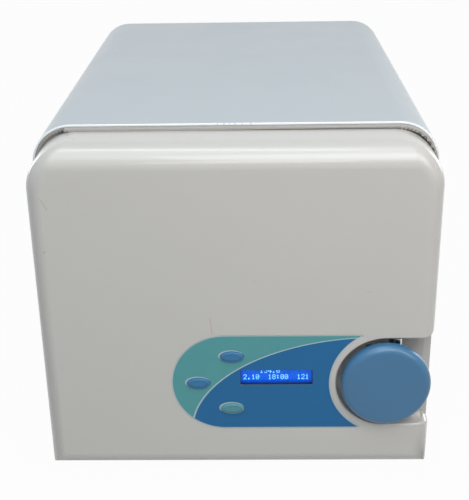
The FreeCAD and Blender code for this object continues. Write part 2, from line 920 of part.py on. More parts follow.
def hinge_pin(z):
    reach = hinge_lug / 2 + slip + hinge_ear
    pin = rod_z(hinge_x, hinge_y, hinge_pin_r, z - reach, z + reach + slip)
    head = rod_z(hinge_x, hinge_y, hinge_pin_head_r, z + reach + slip, z + reach + slip + hinge_pin_head)
    return joined([pin, head])


def dome(r, edge_y, sag):
    # The dished end: from the rim to the middle, as (centre, radius) of its arc.
    radius = (r * r + sag * sag) / (2 * sag)
    centre = edge_y + sag - radius
    half = math.asin(r / radius) / 2
    middle = V(radius * math.sin(half), centre + radius * math.cos(half), 0)
    return Part.Arc(V(r, edge_y, 0), middle, V(0, edge_y + sag, 0)).toShape()


def domed_bar(r, y0, y1, sag):
    edges = [Part.makeLine(V(0, y0, 0), V(r, y0, 0)), Part.makeLine(V(r, y0, 0), V(r, y1, 0)),
             dome(r, y1, sag), Part.makeLine(V(0, y1 + sag, 0), V(0, y0, 0))]
    solid = Part.Face(Part.Wire(edges)).revolve(V(0, 0, 0), along_y, 360)
    solid.translate(V(0, 0, axis_z))
    return solid


def port_places():
    return [(0, axis_z - drain_port_drop), (0, axis_z + valve_port_rise), (probe_port_offset, axis_z)]


def flange_bolt_places():
    r = (chamber_r + chamber_wall + flange_r) / 2
    step = 2 * math.pi / flange_bolt_count
    turns = [step * (k + 0.5) for k in range(flange_bolt_count)]
    return [(r * math.cos(a), axis_z + r * math.sin(a)) for a in turns]


def chamber_flange():
    ring = rod_y(0, axis_z, flange_r, flange_front, flange_back)
    cuts = [rod_y(0, axis_z, chamber_r + chamber_wall, flange_front - 1, flange_back + 1)]
    cuts += [rod_y(x, z, sheet_screw_r + screw_gap, flange_front + flange_thickness / 2, flange_back + 1)
             for x, z in flange_bolt_places()]
    return without(ring, cuts)


def chamber_shell():
    tube = rod_y(0, axis_z, chamber_r + chamber_wall, flange_front, chamber_back)
    return tube.cut(rod_y(0, axis_z, chamber_r, flange_front - 1, chamber_back + 1))


def chamber_end():
    # The dished end with its three ports, welded to the shell like the flange
    start = chamber_back
    outer = domed_bar(chamber_r + chamber_wall, start - chamber_wall, start, chamber_dish + chamber_wall)
    ports = [rod_y(x, z, port_r, start, chamber_end_y + port_end) for x, z in port_places()]
    cuts = [domed_bar(chamber_r, start - 2 * chamber_wall, start, chamber_dish),
            rod_y(0, axis_z, flange_r, start - 2 * chamber_wall, start)]
    cuts += [rod_y(x, z, port_bore_r, start, chamber_end_y + port_end + 1) for x, z in port_places()]
    return without(joined([outer] + ports), cuts)


def flange_bolts():
    length = bulkhead_sheet + flange_thickness / 2 - slip
    return [screw(V(x, bulkhead_back, z), V(0, -1, 0), sheet_screw_r, length, sheet_screw_head_r,
                  sheet_screw_head) for x, z in flange_bolt_places()]


def heater_band():
    inner = chamber_r + chamber_wall
    outer = inner + heater_sheet
    start = flange_back + heater_start
    end = start + heater_width
    band = rod_y(0, axis_z, outer, start, end)
    low = axis_z - outer - heater_ear
    half = heater_split / 2
    ears = block(-half - heater_sheet, half + heater_sheet, start, end, low, axis_z - inner)
    gap = block(-half, half, start - 1, end + 1, low - 1, axis_z - inner + heater_sheet)
    bore = rod_y(0, axis_z, inner, start - 1, end + 1)
    return without(joined([band, ears]), [bore, gap])


def insulation_blanket():
    inner = chamber_r + chamber_wall + heater_sheet + slip
    outer = inner + blanket_thickness
    start = bulkhead_back + blanket_gap
    end = cradle_front() - blanket_gap
    tube = rod_y(0, axis_z, outer, start, end)
    room = heater_split / 2 + heater_sheet + slip
    slot = block(-room, room, start - 1, end + 1, axis_z - outer - 1, axis_z - inner + 2 * slip)
    return without(tube, [rod_y(0, axis_z, inner, start - 1, end + 1), slot])


def cradle_front():
    return chamber_back - cradle_from_end


def rear_cradle():
    front = cradle_front()
    web = block(-cradle_half_width, cradle_half_width, front, front + cradle_sheet,
                pan_top, axis_z - cradle_cut)
    foot = block(-cradle_half_width, cradle_half_width, front, front + bulkhead_foot,
                 pan_top, pan_top + cradle_sheet)
    seat = rod_y(0, axis_z, chamber_r + chamber_wall, front - 1, front + bulkhead_foot + 1)
    return joined([web, foot]).cut(seat)


def front_bulkhead():
    half = cover_half - bulkhead_side_gap
    high = cover_top - bulkhead_top_gap
    plate = rounded_plate(half, pan_top, high, flange_back, bulkhead_back, bulkhead_corner, 0)
    foot = block(-half, half, flange_back, bulkhead_back + bulkhead_foot, pan_top, pan_top + bulkhead_sheet)
    sides = [block(min(s * half, s * (half - bulkhead_sheet)), max(s * half, s * (half - bulkhead_sheet)),
                   flange_back, bulkhead_back + bulkhead_flange, pan_top, high - bulkhead_corner)
             for s in (-1, 1)]
    body = joined([plate, foot] + sides)
    hole_r = sheet_screw_r + screw_gap
    cuts = [rod_y(0, axis_z, chamber_r + chamber_wall + slip, flange_back - 1, bulkhead_back + 1),
            rod_y(knob_x, knob_z, nut_r, flange_back - 1, bulkhead_back + 1)]
    places = flange_bolt_places() + frame_screw_places()
    for z in hinge_heights():
        places += bracket_screw_places(z)
    cuts += [rod_y(x, z, hole_r, flange_back - 1, bulkhead_back + 1) for x, z in places]
    return without(body, cuts)


def frame_screw_places():
    half = cover_half - bulkhead_side_gap - bulkhead_corner
    low = pan_top + bulkhead_foot
    high = cover_top - bulkhead_top_gap - bulkhead_corner / 2
    return [(s * half, z) for s in (-1, 1) for z in (low, high)]


def front_frame():
    # Moulded surround of the chamber's mouth; its rim shows between door and cover.
    edge = cover_sheet + frame_side_gap
    half = cover_half - edge
    high = cover_top - edge
    rim_front = door_back + frame_rim_gap
    plate_front = door_back + frame_plate_set
    plate_back = plate_front + frame_wall
    corner = cover_corner - edge
    solid = rounded_plate(half, pan_low, high, rim_front, flange_back, corner, door_bottom_corner)
    w = frame_wall
    front_room = rounded_plate(half - w, pan_low + w, high - w, rim_front - 1, plate_front,
                               corner - w, door_bottom_corner - w)
    back_room = rounded_plate(half - w, pan_low + w, high - w, plate_back, flange_back + 1,
                              corner - w, door_bottom_corner - w)
    body = without(solid, [front_room, back_room])
    opening = lid_r + frame_opening_gap
    collar = rod_y(0, axis_z, opening + w, plate_front, flange_front - slip)
    posts = [rod_y(x, z, frame_screw_r, plate_front, flange_back) for x, z in frame_screw_places()]
    body = joined([body, collar] + posts)
    bracket_front = flange_back - bracket_plate
    cuts = [rod_y(0, axis_z, opening, plate_front - 1, flange_back + 1),
            rod_y(knob_x, knob_z, nut_r + slip, plate_front - 1, flange_back),
            block(-cover_half, hinge_x + swing_reach() + slip, rim_front - 1,
                  hinge_y + swing_reach() + swing_gap, 0, cover_top)]
    for z in hinge_heights():
        tall = hinge_lug / 2 + slip
        cuts.append(block(hinge_x - knuckle_r - slip, hinge_x + knuckle_r + slip, rim_front - 1,
                          bracket_front + 1, z - tall, z + tall))
    cuts += [rod_y(x, z, sheet_screw_r + screw_gap, plate_front - 1, flange_back + 1)
             for x, z in frame_screw_places()]
    return without(body, cuts)


def swing_reach():
    # How far from the pins the door's rear left corner lies.
    return math.hypot(hinge_inset, hinge_set_in)


def frame_screws():
    seat = door_back + frame_plate_set
    length = flange_back - seat + bulkhead_sheet
    return [screw(V(x, seat, z), along_y, sheet_screw_r, length, sheet_screw_head_r, sheet_screw_head)
            for x, z in frame_screw_places()]


def cover_profile(inset, y0, y1, low):
    return rounded_plate(cover_half - inset, low, cover_top - inset, y0, y1, cover_corner - inset, 0)


def side_screw_ys():
    return [cover_front + cover_length * share for share in side_screw_shares]


def side_screw_z():
    return pan_low + pan_flange / 2


def outer_cover():
    outer = cover_profile(0, cover_front, cover_back, pan_low)

    def front_edge(edge):
        box = edge.BoundBox
        return box.YMax < cover_front + tiny and box.ZMax > pan_low + tiny

    outer = rounded(outer, cover_edge_round, front_edge)
    below = pan_low - 1
    cuts = [cover_profile(cover_sheet, cover_front + cover_sheet, panel_front - cover_sheet, below),
            cover_profile(cover_front_lip, cover_front - 1, cover_front + cover_sheet + 1, below),
            cover_profile(cover_rear_lip, panel_front - cover_sheet - 1, panel_front + 1, below),
            cover_profile(cover_sheet, panel_front, cover_back + 1, below)]
    for s in (-1, 1):
        for y in side_screw_ys():
            inside = V(s * (cover_half - 3 * cover_sheet), y, side_screw_z())
            cuts.append(Part.makeCylinder(sheet_screw_r + screw_gap, 4 * cover_sheet, inside, V(s, 0, 0)))
    cuts += [rod_y(x, z, sheet_screw_r + screw_gap, panel_front - 2 * cover_sheet, panel_front + 1)
             for x, z in rear_screw_places()]
    return without(outer, cuts)


def rear_screw_places():
    x = cover_half - cover_rear_lip / 2
    z = cover_top - cover_rear_lip / 2
    sides = [(s * x, axis_z + rise) for s in (-1, 1)
             for rise in (-rear_screw_rise, rear_screw_rise)]
    top = [(s * cover_half / 2, z) for s in (-1, 1)]
    bottom = [(s * cover_half * rear_screw_share, side_screw_z()) for s in (-1, 0, 1)]
    return sides + top + bottom


def cabinet_screws():
    sides = [sheet_screw(V(s * cover_half, y, side_screw_z()), V(-s, 0, 0))
             for s in (-1, 1) for y in side_screw_ys()]
    return sides + [sheet_screw(V(x, rear_y, z), V(0, -1, 0)) for x, z in rear_screw_places()]


def foot_places():
    x = cover_half - foot_inset_x
    return {"front_left": (-x, flange_back + foot_inset_y), "front_right": (x, flange_back + foot_inset_y),
            "rear_left": (-x, panel_front - foot_inset_y), "rear_right": (x, panel_front - foot_inset_y)}


def base_pan():
    half = cover_half - cover_sheet - slip
    back = panel_front
    floor = block(-half, half, flange_back, back, pan_low, pan_top)
    high = pan_low + pan_flange
    walls = [block(-half, -half + pan_sheet, bulkhead_back + bulkhead_flange + slip,
                   back - cover_sheet - slip, pan_low, high),
             block(half - pan_sheet, half, bulkhead_back + bulkhead_flange + slip,
                   back - cover_sheet - slip, pan_low, high),
             block(-half + cover_rear_lip, half - cover_rear_lip, back - pan_sheet, back, pan_low, high)]
    body = joined([floor] + walls + power_board_posts())
    cuts = []
    for s in (-1, 1):
        x = s * cover_half * vent_share
        for k in range(vent_slot_count):
            y = flange_back + vent_start + k * vent_slot_pitch
            cuts.append(block(x - vent_slot_length / 2, x + vent_slot_length / 2, y, y + vent_slot_width,
                              pan_low - 1, pan_top + 1))
    # Room for the cover's rear lip beside the floor
    lip_front = back - cover_sheet - slip
    cuts += [block(-half - 1, -half + cover_rear_lip, lip_front, back + 1, pan_low - 1, high + 1),
             block(half - cover_rear_lip, half + 1, lip_front, back + 1, pan_low - 1, high + 1)]
    cuts += [rod_z(x, y, sheet_screw_r + screw_gap, pan_low - 1, pan_top + 1)
             for x, y in foot_places().values()]
    for s in (-1, 1):
        for y in side_screw_ys():
            cuts.append(Part.makeCylinder(sheet_screw_r + screw_gap, 4 * pan_sheet,
                                          V(s * (half - 3 * pan_sheet), y, side_screw_z()), V(s, 0, 0)))
    cuts += [rod_y(x, z, sheet_screw_r + screw_gap, back - 2 * pan_sheet, back + 1)
             for x, z in rear_screw_places()]
    return without(body, cuts)


def rubber_foot(x, y):
    foot = Part.makeCone(foot_r - foot_taper, foot_r, foot_height, V(x, y, 0))
    recess = rod_z(x, y, foot_recess_r, -1, foot_recess)
    hole = rod_z(x, y, sheet_screw_r + screw_gap, 0, foot_height + 1)
    return without(foot, [recess, hole])


def foot_screws():
    length = foot_height - foot_recess + pan_sheet + slip
    return [screw(V(x, y, foot_recess), V(0, 0, 1), sheet_screw_r, length, sheet_screw_head_r,
                  sheet_screw_head) for x, y in foot_places().values()]


def louvre_places():
    return [(s * cover_half * louvre_share, axis_z + louvre_start + louvre_pitch * k)
            for s in (-1, 1) for k in range(louvre_count)]


def rear_panel():
    half = cover_half - cover_sheet - slip
    plate = rounded_plate(half, pan_low, cover_top - cover_sheet - slip, panel_front, rear_y,
                          cover_corner - cover_sheet - slip, 0)
    hoods = []
    cuts = []
    for x, z in louvre_places():
        start = V(x - louvre_length / 2, rear_y, z)
        hood = Part.makeCylinder(louvre_r, louvre_length, start, V(1, 0, 0))
        hollow = Part.makeCylinder(louvre_r - cover_sheet, louvre_length - 2 * cover_sheet,
                                   start + V(cover_sheet, 0, 0), V(1, 0, 0))
        keep = block(x - louvre_length, x + louvre_length, rear_y - tiny, rear_y + louvre_r, z, z + louvre_r)
        hoods.append(hood.common(keep).cut(hollow))
        cuts.append(block(x - louvre_length / 2 + cover_sheet, x + louvre_length / 2 - cover_sheet,
                          panel_front - 1, rear_y + 1, z, z + louvre_r - 2 * cover_sheet))
    body = joined([plate] + hoods)
    hole_r = sheet_screw_r + screw_gap
    cuts += [rod_y(x, z, hole_r, panel_front - 1, rear_y + 1) for x, z in rear_screw_places()]
    cuts += [rod_y(x, service_z, fuse_body_r, panel_front - 1, rear_y + 1) for x in fuse_xs()]
    cuts.append(rod_y(0, axis_z - drain_port_drop, drain_stem_r, panel_front - 1, rear_y + 1))
    cuts.append(rod_y(0, axis_z + valve_port_rise, valve_body_r + slip, panel_front - 1, rear_y + 1))
    cuts.append(around(inlet_x, inlet_body_w, inlet_body_h, panel_front - 1, rear_y + 1))
    cuts.append(around(switch_x, switch_body_w, switch_body_h, panel_front - 1, rear_y + 1))
    return without(body, cuts)


def around(x, width, height, y0, y1):
    return block(x - width / 2, x + width / 2, y0, y1, service_z - height / 2, service_z + height / 2)


def fuse_xs():
    return (fuse_x, fuse_x - fuse_pitch)


def power_inlet():
    body = around(inlet_x, inlet_body_w, inlet_body_h, rear_y - inlet_deep, rear_y)
    flange = around(inlet_x, inlet_flange_w, inlet_flange_h, rear_y, rear_y + inlet_flange)
    flange = rounded(flange, inlet_flange, lambda e: runs_along(e, "y"))
    mouth = rear_y + inlet_flange
    room = around(inlet_x, inlet_recess_w, inlet_recess_h, mouth - inlet_recess, mouth + 1)
    room = room.makeChamfer(inlet_flange, [e for e in room.Edges if runs_along(e, "y")
                                           and e.BoundBox.ZMin > service_z])
    return without(joined([body, flange]), [room] + blades())


def blades():
    mouth = rear_y + inlet_flange
    parts = []
    for k in (-1, 0, 1):
        z = service_z + (blade_rise if k == 0 else -blade_rise)
        x = inlet_x + k * blade_pitch
        parts.append(block(x - blade_w / 2, x + blade_w / 2, rear_y - inlet_deep, mouth - blade_short,
                           z - blade_h / 2, z + blade_h / 2))
    return parts


def rocker_pin(r, reach):
    side = rocker_w / 2 + reach
    return Part.makeCylinder(r, 2 * side, V(switch_x - side, rocker_pivot_y(), service_z), V(1, 0, 0))


def switch_housing():
    body = around(switch_x, switch_body_w, switch_body_h, rear_y - switch_deep, rear_y)
    flange = around(switch_x, switch_flange_w, switch_flange_h, rear_y, rear_y + switch_flange)
    flange = rounded(flange, switch_flange, lambda e: runs_along(e, "y"))
    mouth = rear_y + switch_flange
    room = around(switch_x, switch_room_w, switch_room_h, mouth - switch_room, mouth + 1)
    socket = rocker_pin(rocker_pin_r + running, rocker_pin_reach + screw_gap)
    return without(joined([body, flange]), [room, socket])


def rocker_pivot_y():
    return rear_y - switch_flange


def switch_rocker():
    # Dished across its length; drawn level, then tipped to its off side.
    y = rocker_pivot_y()
    half = rocker_half
    points = [(y + rocker_rise, -half), (y + rocker_dip, 0), (y + rocker_rise, half), (y, half),
              (y - rocker_deep, half / 2), (y - rocker_deep, -half / 2), (y, -half)]
    corners = [V(switch_x - rocker_w / 2, yy, service_z + z) for yy, z in points]
    solid = Part.Face(Part.makePolygon(corners + corners[:1])).extrude(V(rocker_w, 0, 0))
    solid.rotate(V(switch_x, y, service_z), V(1, 0, 0), rocker_tilt)
    return joined([solid, rocker_pin(rocker_pin_r, rocker_pin_reach)])


def fuse_holder(x):
    body = rod_y(x, service_z, fuse_body_r - screw_gap, rear_y - fuse_deep, rear_y)
    flange = rod_y(x, service_z, fuse_flange_r, rear_y, rear_y + fuse_flange)
    cap = rod_y(x, service_z, fuse_cap_r, rear_y + fuse_flange, rear_y + fuse_flange + fuse_cap)
    end = rear_y + fuse_flange + fuse_cap
    slot = block(x - fuse_cap_r, x + fuse_cap_r, end - fuse_slot_depth, end + 1,
                 service_z - fuse_slot_half, service_z + fuse_slot_half)
    return joined([body, flange, cap]).cut(slot)


def safety_valve_body():
    z = axis_z + valve_port_rise
    start = chamber_end_y + port_end
    end = rear_y + valve_reach
    body = rod_y(0, z, valve_body_r, start, end)
    hexed = hexagon(0, z, valve_hex, start + valve_hex_length, start + 2 * valve_hex_length)
    spud = rod_y(0, z, port_bore_r - screw_gap, start - port_end / 2, start)
    bore = rod_y(0, z, valve_stem_r + running, end - 2 * valve_hex_length, end + 1)
    return joined([body, hexed, spud]).cut(bore)


def safety_valve_stem():
    # The pull cap that lifts the valve off its seat by hand.
    z = axis_z + valve_port_rise
    end = rear_y + valve_reach
    stem = rod_y(0, z, valve_stem_r, end - 2 * valve_hex_length + slip, end + valve_stem_free)
    cap = rod_y(0, z, valve_cap_r, end + valve_stem_free, end + valve_stem_free + valve_cap)
    grooves = []
    for k in range(valve_cap_grooves):
        a = math.radians(360 * k / valve_cap_grooves)
        grooves.append(rod_y(valve_cap_r * math.cos(a), z + valve_cap_r * math.sin(a), valve_groove_r,
                             end, end + valve_stem_free + valve_cap + 1))
    return joined([stem, without(cap, grooves)])


def steam_valve_body():
    z = axis_z - drain_port_drop
    start = chamber_end_y + port_end
    back = panel_front - drain_nut
    half = steam_valve_half
    neck = steam_valve_neck
    spud = rod_y(0, z, port_bore_r - screw_gap, start - port_end / 2, start)
    inlet = hexagon(0, z, 2 * port_r, start, start + neck)
    core = block(-half, half, start + neck, back - neck, z - half, z + half)
    outlet = rod_y(0, z, drain_stem_r, back - neck, back)
    return joined([spud, inlet, core, outlet])


def steam_valve_coil():
    z = axis_z - drain_port_drop + steam_valve_half
    middle = (chamber_end_y + port_end + panel_front - drain_nut) / 2
    stem = rod_z(0, middle, solenoid_stem_r, z, z + solenoid_stem)
    coil = block(-solenoid_half, solenoid_half, middle - solenoid_depth / 2, middle + solenoid_depth / 2,
                 z + solenoid_lift, z + solenoid_lift + solenoid_height)
    coil = rounded(coil, solenoid_round, lambda e: runs_along(e, "z"))
    return joined([coil, stem])


def drain_spigot():
    z = axis_z - drain_port_drop
    back = panel_front - drain_nut
    inner = rod_y(0, z, drain_stem_r + drain_flange, back, panel_front)
    stem = rod_y(0, z, drain_stem_r, panel_front, rear_y + drain_nut)
    nut = hexagon(0, z, drain_nut_across, rear_y, rear_y + drain_nut)
    tail = rod_y(0, z, drain_tail_r, rear_y + drain_nut, rear_y + drain_nut + drain_tail)
    bore = rod_y(0, z, drain_bore_r, back + drain_flange, rear_y + drain_nut + drain_tail + 1)
    return joined([inner, stem, nut, tail]).cut(bore)


def temperature_probe():
    x = probe_port_offset
    start = chamber_end_y + port_end
    stem = rod_y(x, axis_z, port_bore_r - screw_gap, chamber_back - probe_reach, start)
    head = hexagon(x, axis_z, 2 * port_r, start, start + probe_hex)
    tail = rod_y(x, axis_z, port_bore_r, start + probe_hex, start + probe_hex + probe_tail)
    return joined([stem, head, tail])


def rack_front():
    return flange_front + rack_front_gap


def tray_rack():
    y0 = rack_front()
    y1 = y0 + rack_length
    parts = []
    cuts = []
    window = (rack_length - rack_window_gap) / rack_window_count
    for s in (-1, 1):
        outer = s * rack_half
        inner = s * (rack_half - rack_sheet)
        ledge = s * (rack_half - rack_sheet - rack_ledge)
        parts.append(block(min(outer, inner), max(outer, inner), y0, y1,
                           axis_z + rack_low, axis_z + rack_high))
        for level in tray_levels:
            parts.append(block(min(inner, ledge), max(inner, ledge), y0, y1,
                               axis_z + level - rack_sheet, axis_z + level))
            low = axis_z + level + rack_window_rise
            for k in range(rack_window_count):
                start = y0 + rack_window_gap + k * window
                cuts.append(block(min(outer, inner) - 1, max(outer, inner) + 1, start,
                                  start + window - rack_window_gap, low, low + rack_window_height))
    for y in (y0 + rack_strip_inset, y1 - rack_strip_inset - rack_strip_width):
        parts.append(block(-rack_half, rack_half, y, y + rack_strip_width, axis_z + rack_strip,
                           axis_z + rack_strip + rack_sheet))
    return without(joined(parts), cuts)


def tray(level):
    half = rack_half - rack_sheet - tray_gap
    y0 = rack_front() + tray_end_gap
    y1 = rack_front() + rack_length - tray_end_gap
    z0 = axis_z + level
    body = block(-half, half, y0, y1, z0, z0 + tray_wall)
    body = rounded(body, tray_corner, lambda e: runs_along(e, "z"))
    room = block(-half + tray_sheet, half - tray_sheet, y0 + tray_sheet, y1 - tray_sheet,
                 z0 + tray_sheet, z0 + tray_wall + 1)
    room = rounded(room, tray_corner - tray_sheet, lambda e: runs_along(e, "z"))
    cuts = [room]
    for k in range(tray_slot_count):
        y = y0 + tray_slot_start + k * tray_slot_pitch
        for x in (-tray_slot_x, tray_slot_x):
            cuts.append(block(x - tray_slot_half, x + tray_slot_half, y, y + tray_slot_width,
                              z0 - 1, z0 + tray_sheet + 1))
    return without(body, cuts)


def power_corner():
    return cover_half - power_side_gap - power_wide, flange_back + power_start, pan_top + power_rise


def power_board():
    # The parts on the board: two relays, a fuse block and a tall capacitor, as shares of the board.
    x0, y0, z0 = power_corner()
    top = z0 + board_sheet

    def part(left, right, front, back, tall):
        return block(x0 + left * power_wide, x0 + right * power_wide, y0 + front * power_long,
                     y0 + back * power_long, top, top + tall * power_wide)

    sheet = block(x0, x0 + power_wide, y0, y0 + power_long, z0, top)
    relays = [part(0.59, 0.91, 0.06, 0.22, 0.18), part(0.59, 0.91, 0.26, 0.42, 0.18)]
    terminals = part(0.11, 0.45, 0.79, 0.95, 0.14)
    capacitor = rod_z(x0 + 0.68 * power_wide, y0 + 0.68 * power_long, 0.125 * power_wide,
                      top, top + 0.34 * power_wide)
    return joined([sheet, terminals, capacitor] + relays)


def power_board_posts():
    x0, y0, z0 = power_corner()
    inset = power_post_inset
    places = [(x0 + dx, y0 + dy) for dx in (inset, power_wide - inset) for dy in (inset, power_long - inset)]
    return [rod_z(x, y, power_post_r, pan_top, z0) for x, y in places]


def transformer_left():
    return -cover_half + transformer_side_gap


def transformer_core():
    left = transformer_left()
    right = left + transformer_wide
    y0 = flange_back + power_start
    y1 = y0 + transformer_long
    z0 = pan_top
    body = block(left, right, y0, y1, z0, z0 + transformer_tall)
    room = window_share_across * transformer_wide
    tall = window_share_up * transformer_tall
    window = block(left + room, right - room, y0 - 1, y1 + 1, z0 + tall, z0 + transformer_tall - tall)
    feet = block(left, right, y0 - transformer_lip, y1 + transformer_lip, z0, z0 + cradle_sheet)
    return joined([body, feet]).cut(window)


def transformer_coil():
    left = transformer_left()
    y0 = flange_back + power_start
    room = window_share_across * transformer_wide
    tall = window_share_up * transformer_tall
    coil = block(left + room, left + transformer_wide - room, y0 - coil_overhang,
                 y0 + transformer_long + coil_overhang, pan_top + tall, pan_top + transformer_tall - tall)
    return rounded(coil, coil_round, lambda e: runs_along(e, "x"))


def all_nodes():
    nodes = {
        "door_cover": door_cover(),
        "door_liner": door_liner(),
        "liner_screws": liner_screws(),
        "door_arm": door_arm(),
        "pressure_lid": pressure_lid(),
        "door_seal": door_seal(),
        "lid_stud": lid_stud(),
        "lid_washer": lid_washer_ring(),
        "lid_nut": lid_hex_nut(),
        "panel_label": panel_label(),
        "display_glass": display_glass(),
        "display_module": display_module(),
        "control_board": control_board(),
        "board_screws": board_screws(),
        "tact_switches": tact_switches(),
        "knob": knob_disc(),
        "lock_spindle": spindle(),
        "spindle_clip": spindle_clip(),
        "lock_yoke": lock_yoke(),
        "yoke_pin": yoke_pin(),
        "lock_nut": lock_nut(),
        "hinge_bolts": hinge_bolts(),
        "chamber_flange": chamber_flange(),
        "chamber_shell": chamber_shell(),
        "chamber_end": chamber_end(),
        "flange_bolts": flange_bolts(),
        "heater_band": heater_band(),
        "insulation_blanket": insulation_blanket(),
        "rear_cradle": rear_cradle(),
        "front_bulkhead": front_bulkhead(),
        "front_frame": front_frame(),
        "frame_screws": frame_screws(),
        "outer_cover": outer_cover(),
        "cabinet_screws": cabinet_screws(),
        "base_pan": base_pan(),
        "foot_screws": foot_screws(),
        "rear_panel": rear_panel(),
        "power_inlet": power_inlet(),
        "inlet_blades": blades(),
        "switch_housing": switch_housing(),
        "switch_rocker": switch_rocker(),
        "fuse_holders": [fuse_holder(x) for x in fuse_xs()],
        "safety_valve_body": safety_valve_body(),
        "safety_valve_stem": safety_valve_stem(),
        "steam_valve_body": steam_valve_body(),
        "steam_valve_coil": steam_valve_coil(),
        "drain_spigot": drain_spigot(),
        "temperature_probe": temperature_probe(),
        "tray_rack": tray_rack(),
        "power_board": power_board(),
        "transformer_core": transformer_core(),
        "transformer_coil": transformer_coil(),
    }
    for name, (x, z) in key_places.items():
        nodes[name] = key_cap(x, z)
    nodes["hinge_brackets"] = [hinge_bracket(z) for z in hinge_heights()]
    nodes["hinge_pins"] = [hinge_pin(z) for z in hinge_heights()]
    nodes["trays"] = [tray(level) for level in tray_levels]
    nodes["rubber_feet"] = [rubber_foot(x, y) for x, y in foot_places().values()]
    return nodes


os.makedirs("parts", exist_ok=True)
for name, shape in all_nodes().items():
    if isinstance(shape, list):
        shape = Part.makeCompound(shape)
    sound = "ok" if shape.isValid() else "NOT VALID"
    print(name, len(shape.Solids), sound, round(shape.Volume / 1000, 2), "cm3")
    shape.exportStep("parts/" + name + ".step")
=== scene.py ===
import json
import math

import bpy
from mathutils import Matrix, Vector


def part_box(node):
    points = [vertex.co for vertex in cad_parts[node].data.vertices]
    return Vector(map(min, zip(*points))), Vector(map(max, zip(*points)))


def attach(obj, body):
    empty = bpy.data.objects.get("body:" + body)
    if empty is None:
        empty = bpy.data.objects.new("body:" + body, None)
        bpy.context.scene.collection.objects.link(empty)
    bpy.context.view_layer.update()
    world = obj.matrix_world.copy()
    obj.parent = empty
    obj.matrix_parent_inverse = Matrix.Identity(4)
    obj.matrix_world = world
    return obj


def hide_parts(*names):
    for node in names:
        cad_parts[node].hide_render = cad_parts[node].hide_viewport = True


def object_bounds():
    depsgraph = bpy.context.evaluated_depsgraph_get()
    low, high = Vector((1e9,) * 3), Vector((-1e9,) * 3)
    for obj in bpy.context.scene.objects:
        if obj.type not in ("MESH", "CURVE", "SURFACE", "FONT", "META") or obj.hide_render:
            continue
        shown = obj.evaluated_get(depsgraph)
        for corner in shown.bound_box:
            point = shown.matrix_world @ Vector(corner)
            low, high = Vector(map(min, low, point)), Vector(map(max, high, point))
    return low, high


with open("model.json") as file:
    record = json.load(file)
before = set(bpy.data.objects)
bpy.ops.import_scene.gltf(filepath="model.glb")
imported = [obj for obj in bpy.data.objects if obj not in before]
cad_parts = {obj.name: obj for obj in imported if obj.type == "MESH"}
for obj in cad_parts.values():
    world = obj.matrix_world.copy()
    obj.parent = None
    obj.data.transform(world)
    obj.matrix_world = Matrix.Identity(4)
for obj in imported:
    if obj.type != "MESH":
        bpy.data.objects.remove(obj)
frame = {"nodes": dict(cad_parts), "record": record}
cadLow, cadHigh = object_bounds()
nodes = frame["nodes"]
mm = 0.001
print("frame loaded:", len(nodes), "CAD nodes")


# Small helpers

def clearSelection():
    for thing in bpy.context.selected_objects:
        thing.select_set(False)


def makeActive(thing):
    clearSelection()
    thing.select_set(True)
    bpy.context.view_layer.objects.active = thing


def settle(piece):
    makeActive(piece)  # the place goes into the mesh, and the object to the origin
    bpy.ops.object.transform_apply(location=True, rotation=True, scale=True)


def pickFaces(piece, test):
    bpy.ops.object.mode_set(mode="EDIT")
    bpy.ops.mesh.select_mode(type="FACE")
    bpy.ops.mesh.select_all(action="DESELECT")
    bpy.ops.object.mode_set(mode="OBJECT")
    for face in piece.data.polygons:
        face.select = test(face)
    bpy.ops.object.mode_set(mode="EDIT")


def applyModifier(piece, kind, **settings):
    makeActive(piece)
    modifier = piece.modifiers.new(kind.title(), kind)
    for key, value in settings.items():
        setattr(modifier, key, value)
    bpy.ops.object.modifier_apply(modifier=modifier.name)


def smoothEdges(piece, degrees):
    makeActive(piece)
    bpy.ops.object.shade_smooth_by_angle(angle=math.radians(degrees))


def finishPiece(piece, body, material, replaced=()):
    piece.data.materials.clear()
    piece.data.materials.append(material)
    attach(piece, body)
    if replaced:
        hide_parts(*replaced)
    return piece


def middle(node):
    low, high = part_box(node)
    return (low + high) / 2


# Materials

def srgb(red, green, blue):
    # Colours are written as they look on screen, from 0 to 255.
    def linear(value):
        value /= 255
        return value / 12.92 if value <= 0.04045 else ((value + 0.055) / 1.055) ** 2.4
    return (linear(red), linear(green), linear(blue), 1.0)


def blank(name):
    material = bpy.data.materials.new(name)
    material.use_nodes = True
    tree = material.node_tree
    return material, tree, tree.nodes["Principled BSDF"]


def place(tree):
    # Object coordinates, which ride with the piece
    return tree.nodes.new("ShaderNodeTexCoord").outputs["Object"]


def cloud(tree, coords, scale, detail=4.0, stretch=None):
    if stretch:
        mapping = tree.nodes.new("ShaderNodeMapping")
        mapping.inputs["Scale"].default_value = stretch
        tree.links.new(coords, mapping.inputs["Vector"])
        coords = mapping.outputs["Vector"]
    noise = tree.nodes.new("ShaderNodeTexNoise")
    noise.inputs["Scale"].default_value = scale
    noise.inputs["Detail"].default_value = detail
    tree.links.new(coords, noise.inputs["Vector"])
    return noise.outputs["Fac"]


def spread(tree, value, fromLow, fromHigh, toLow, toHigh):
    node = tree.nodes.new("ShaderNodeMapRange")
    for key, number in zip(("From Min", "From Max", "To Min", "To Max"), (fromLow, fromHigh, toLow, toHigh)):
        node.inputs[key].default_value = number
    tree.links.new(value, node.inputs["Value"])
    return node.outputs["Result"]


def plug(tree, value, socket):
    if isinstance(value, bpy.types.NodeSocket):
        tree.links.new(value, socket)
    else:
        socket.default_value = value


def calc(tree, operation, first, second=0.0, third=0.0):
    node = tree.nodes.new("ShaderNodeMath")
    node.operation = operation
    for value, socket in zip((first, second, third), node.inputs):
        plug(tree, value, socket)
    return node.outputs["Value"]


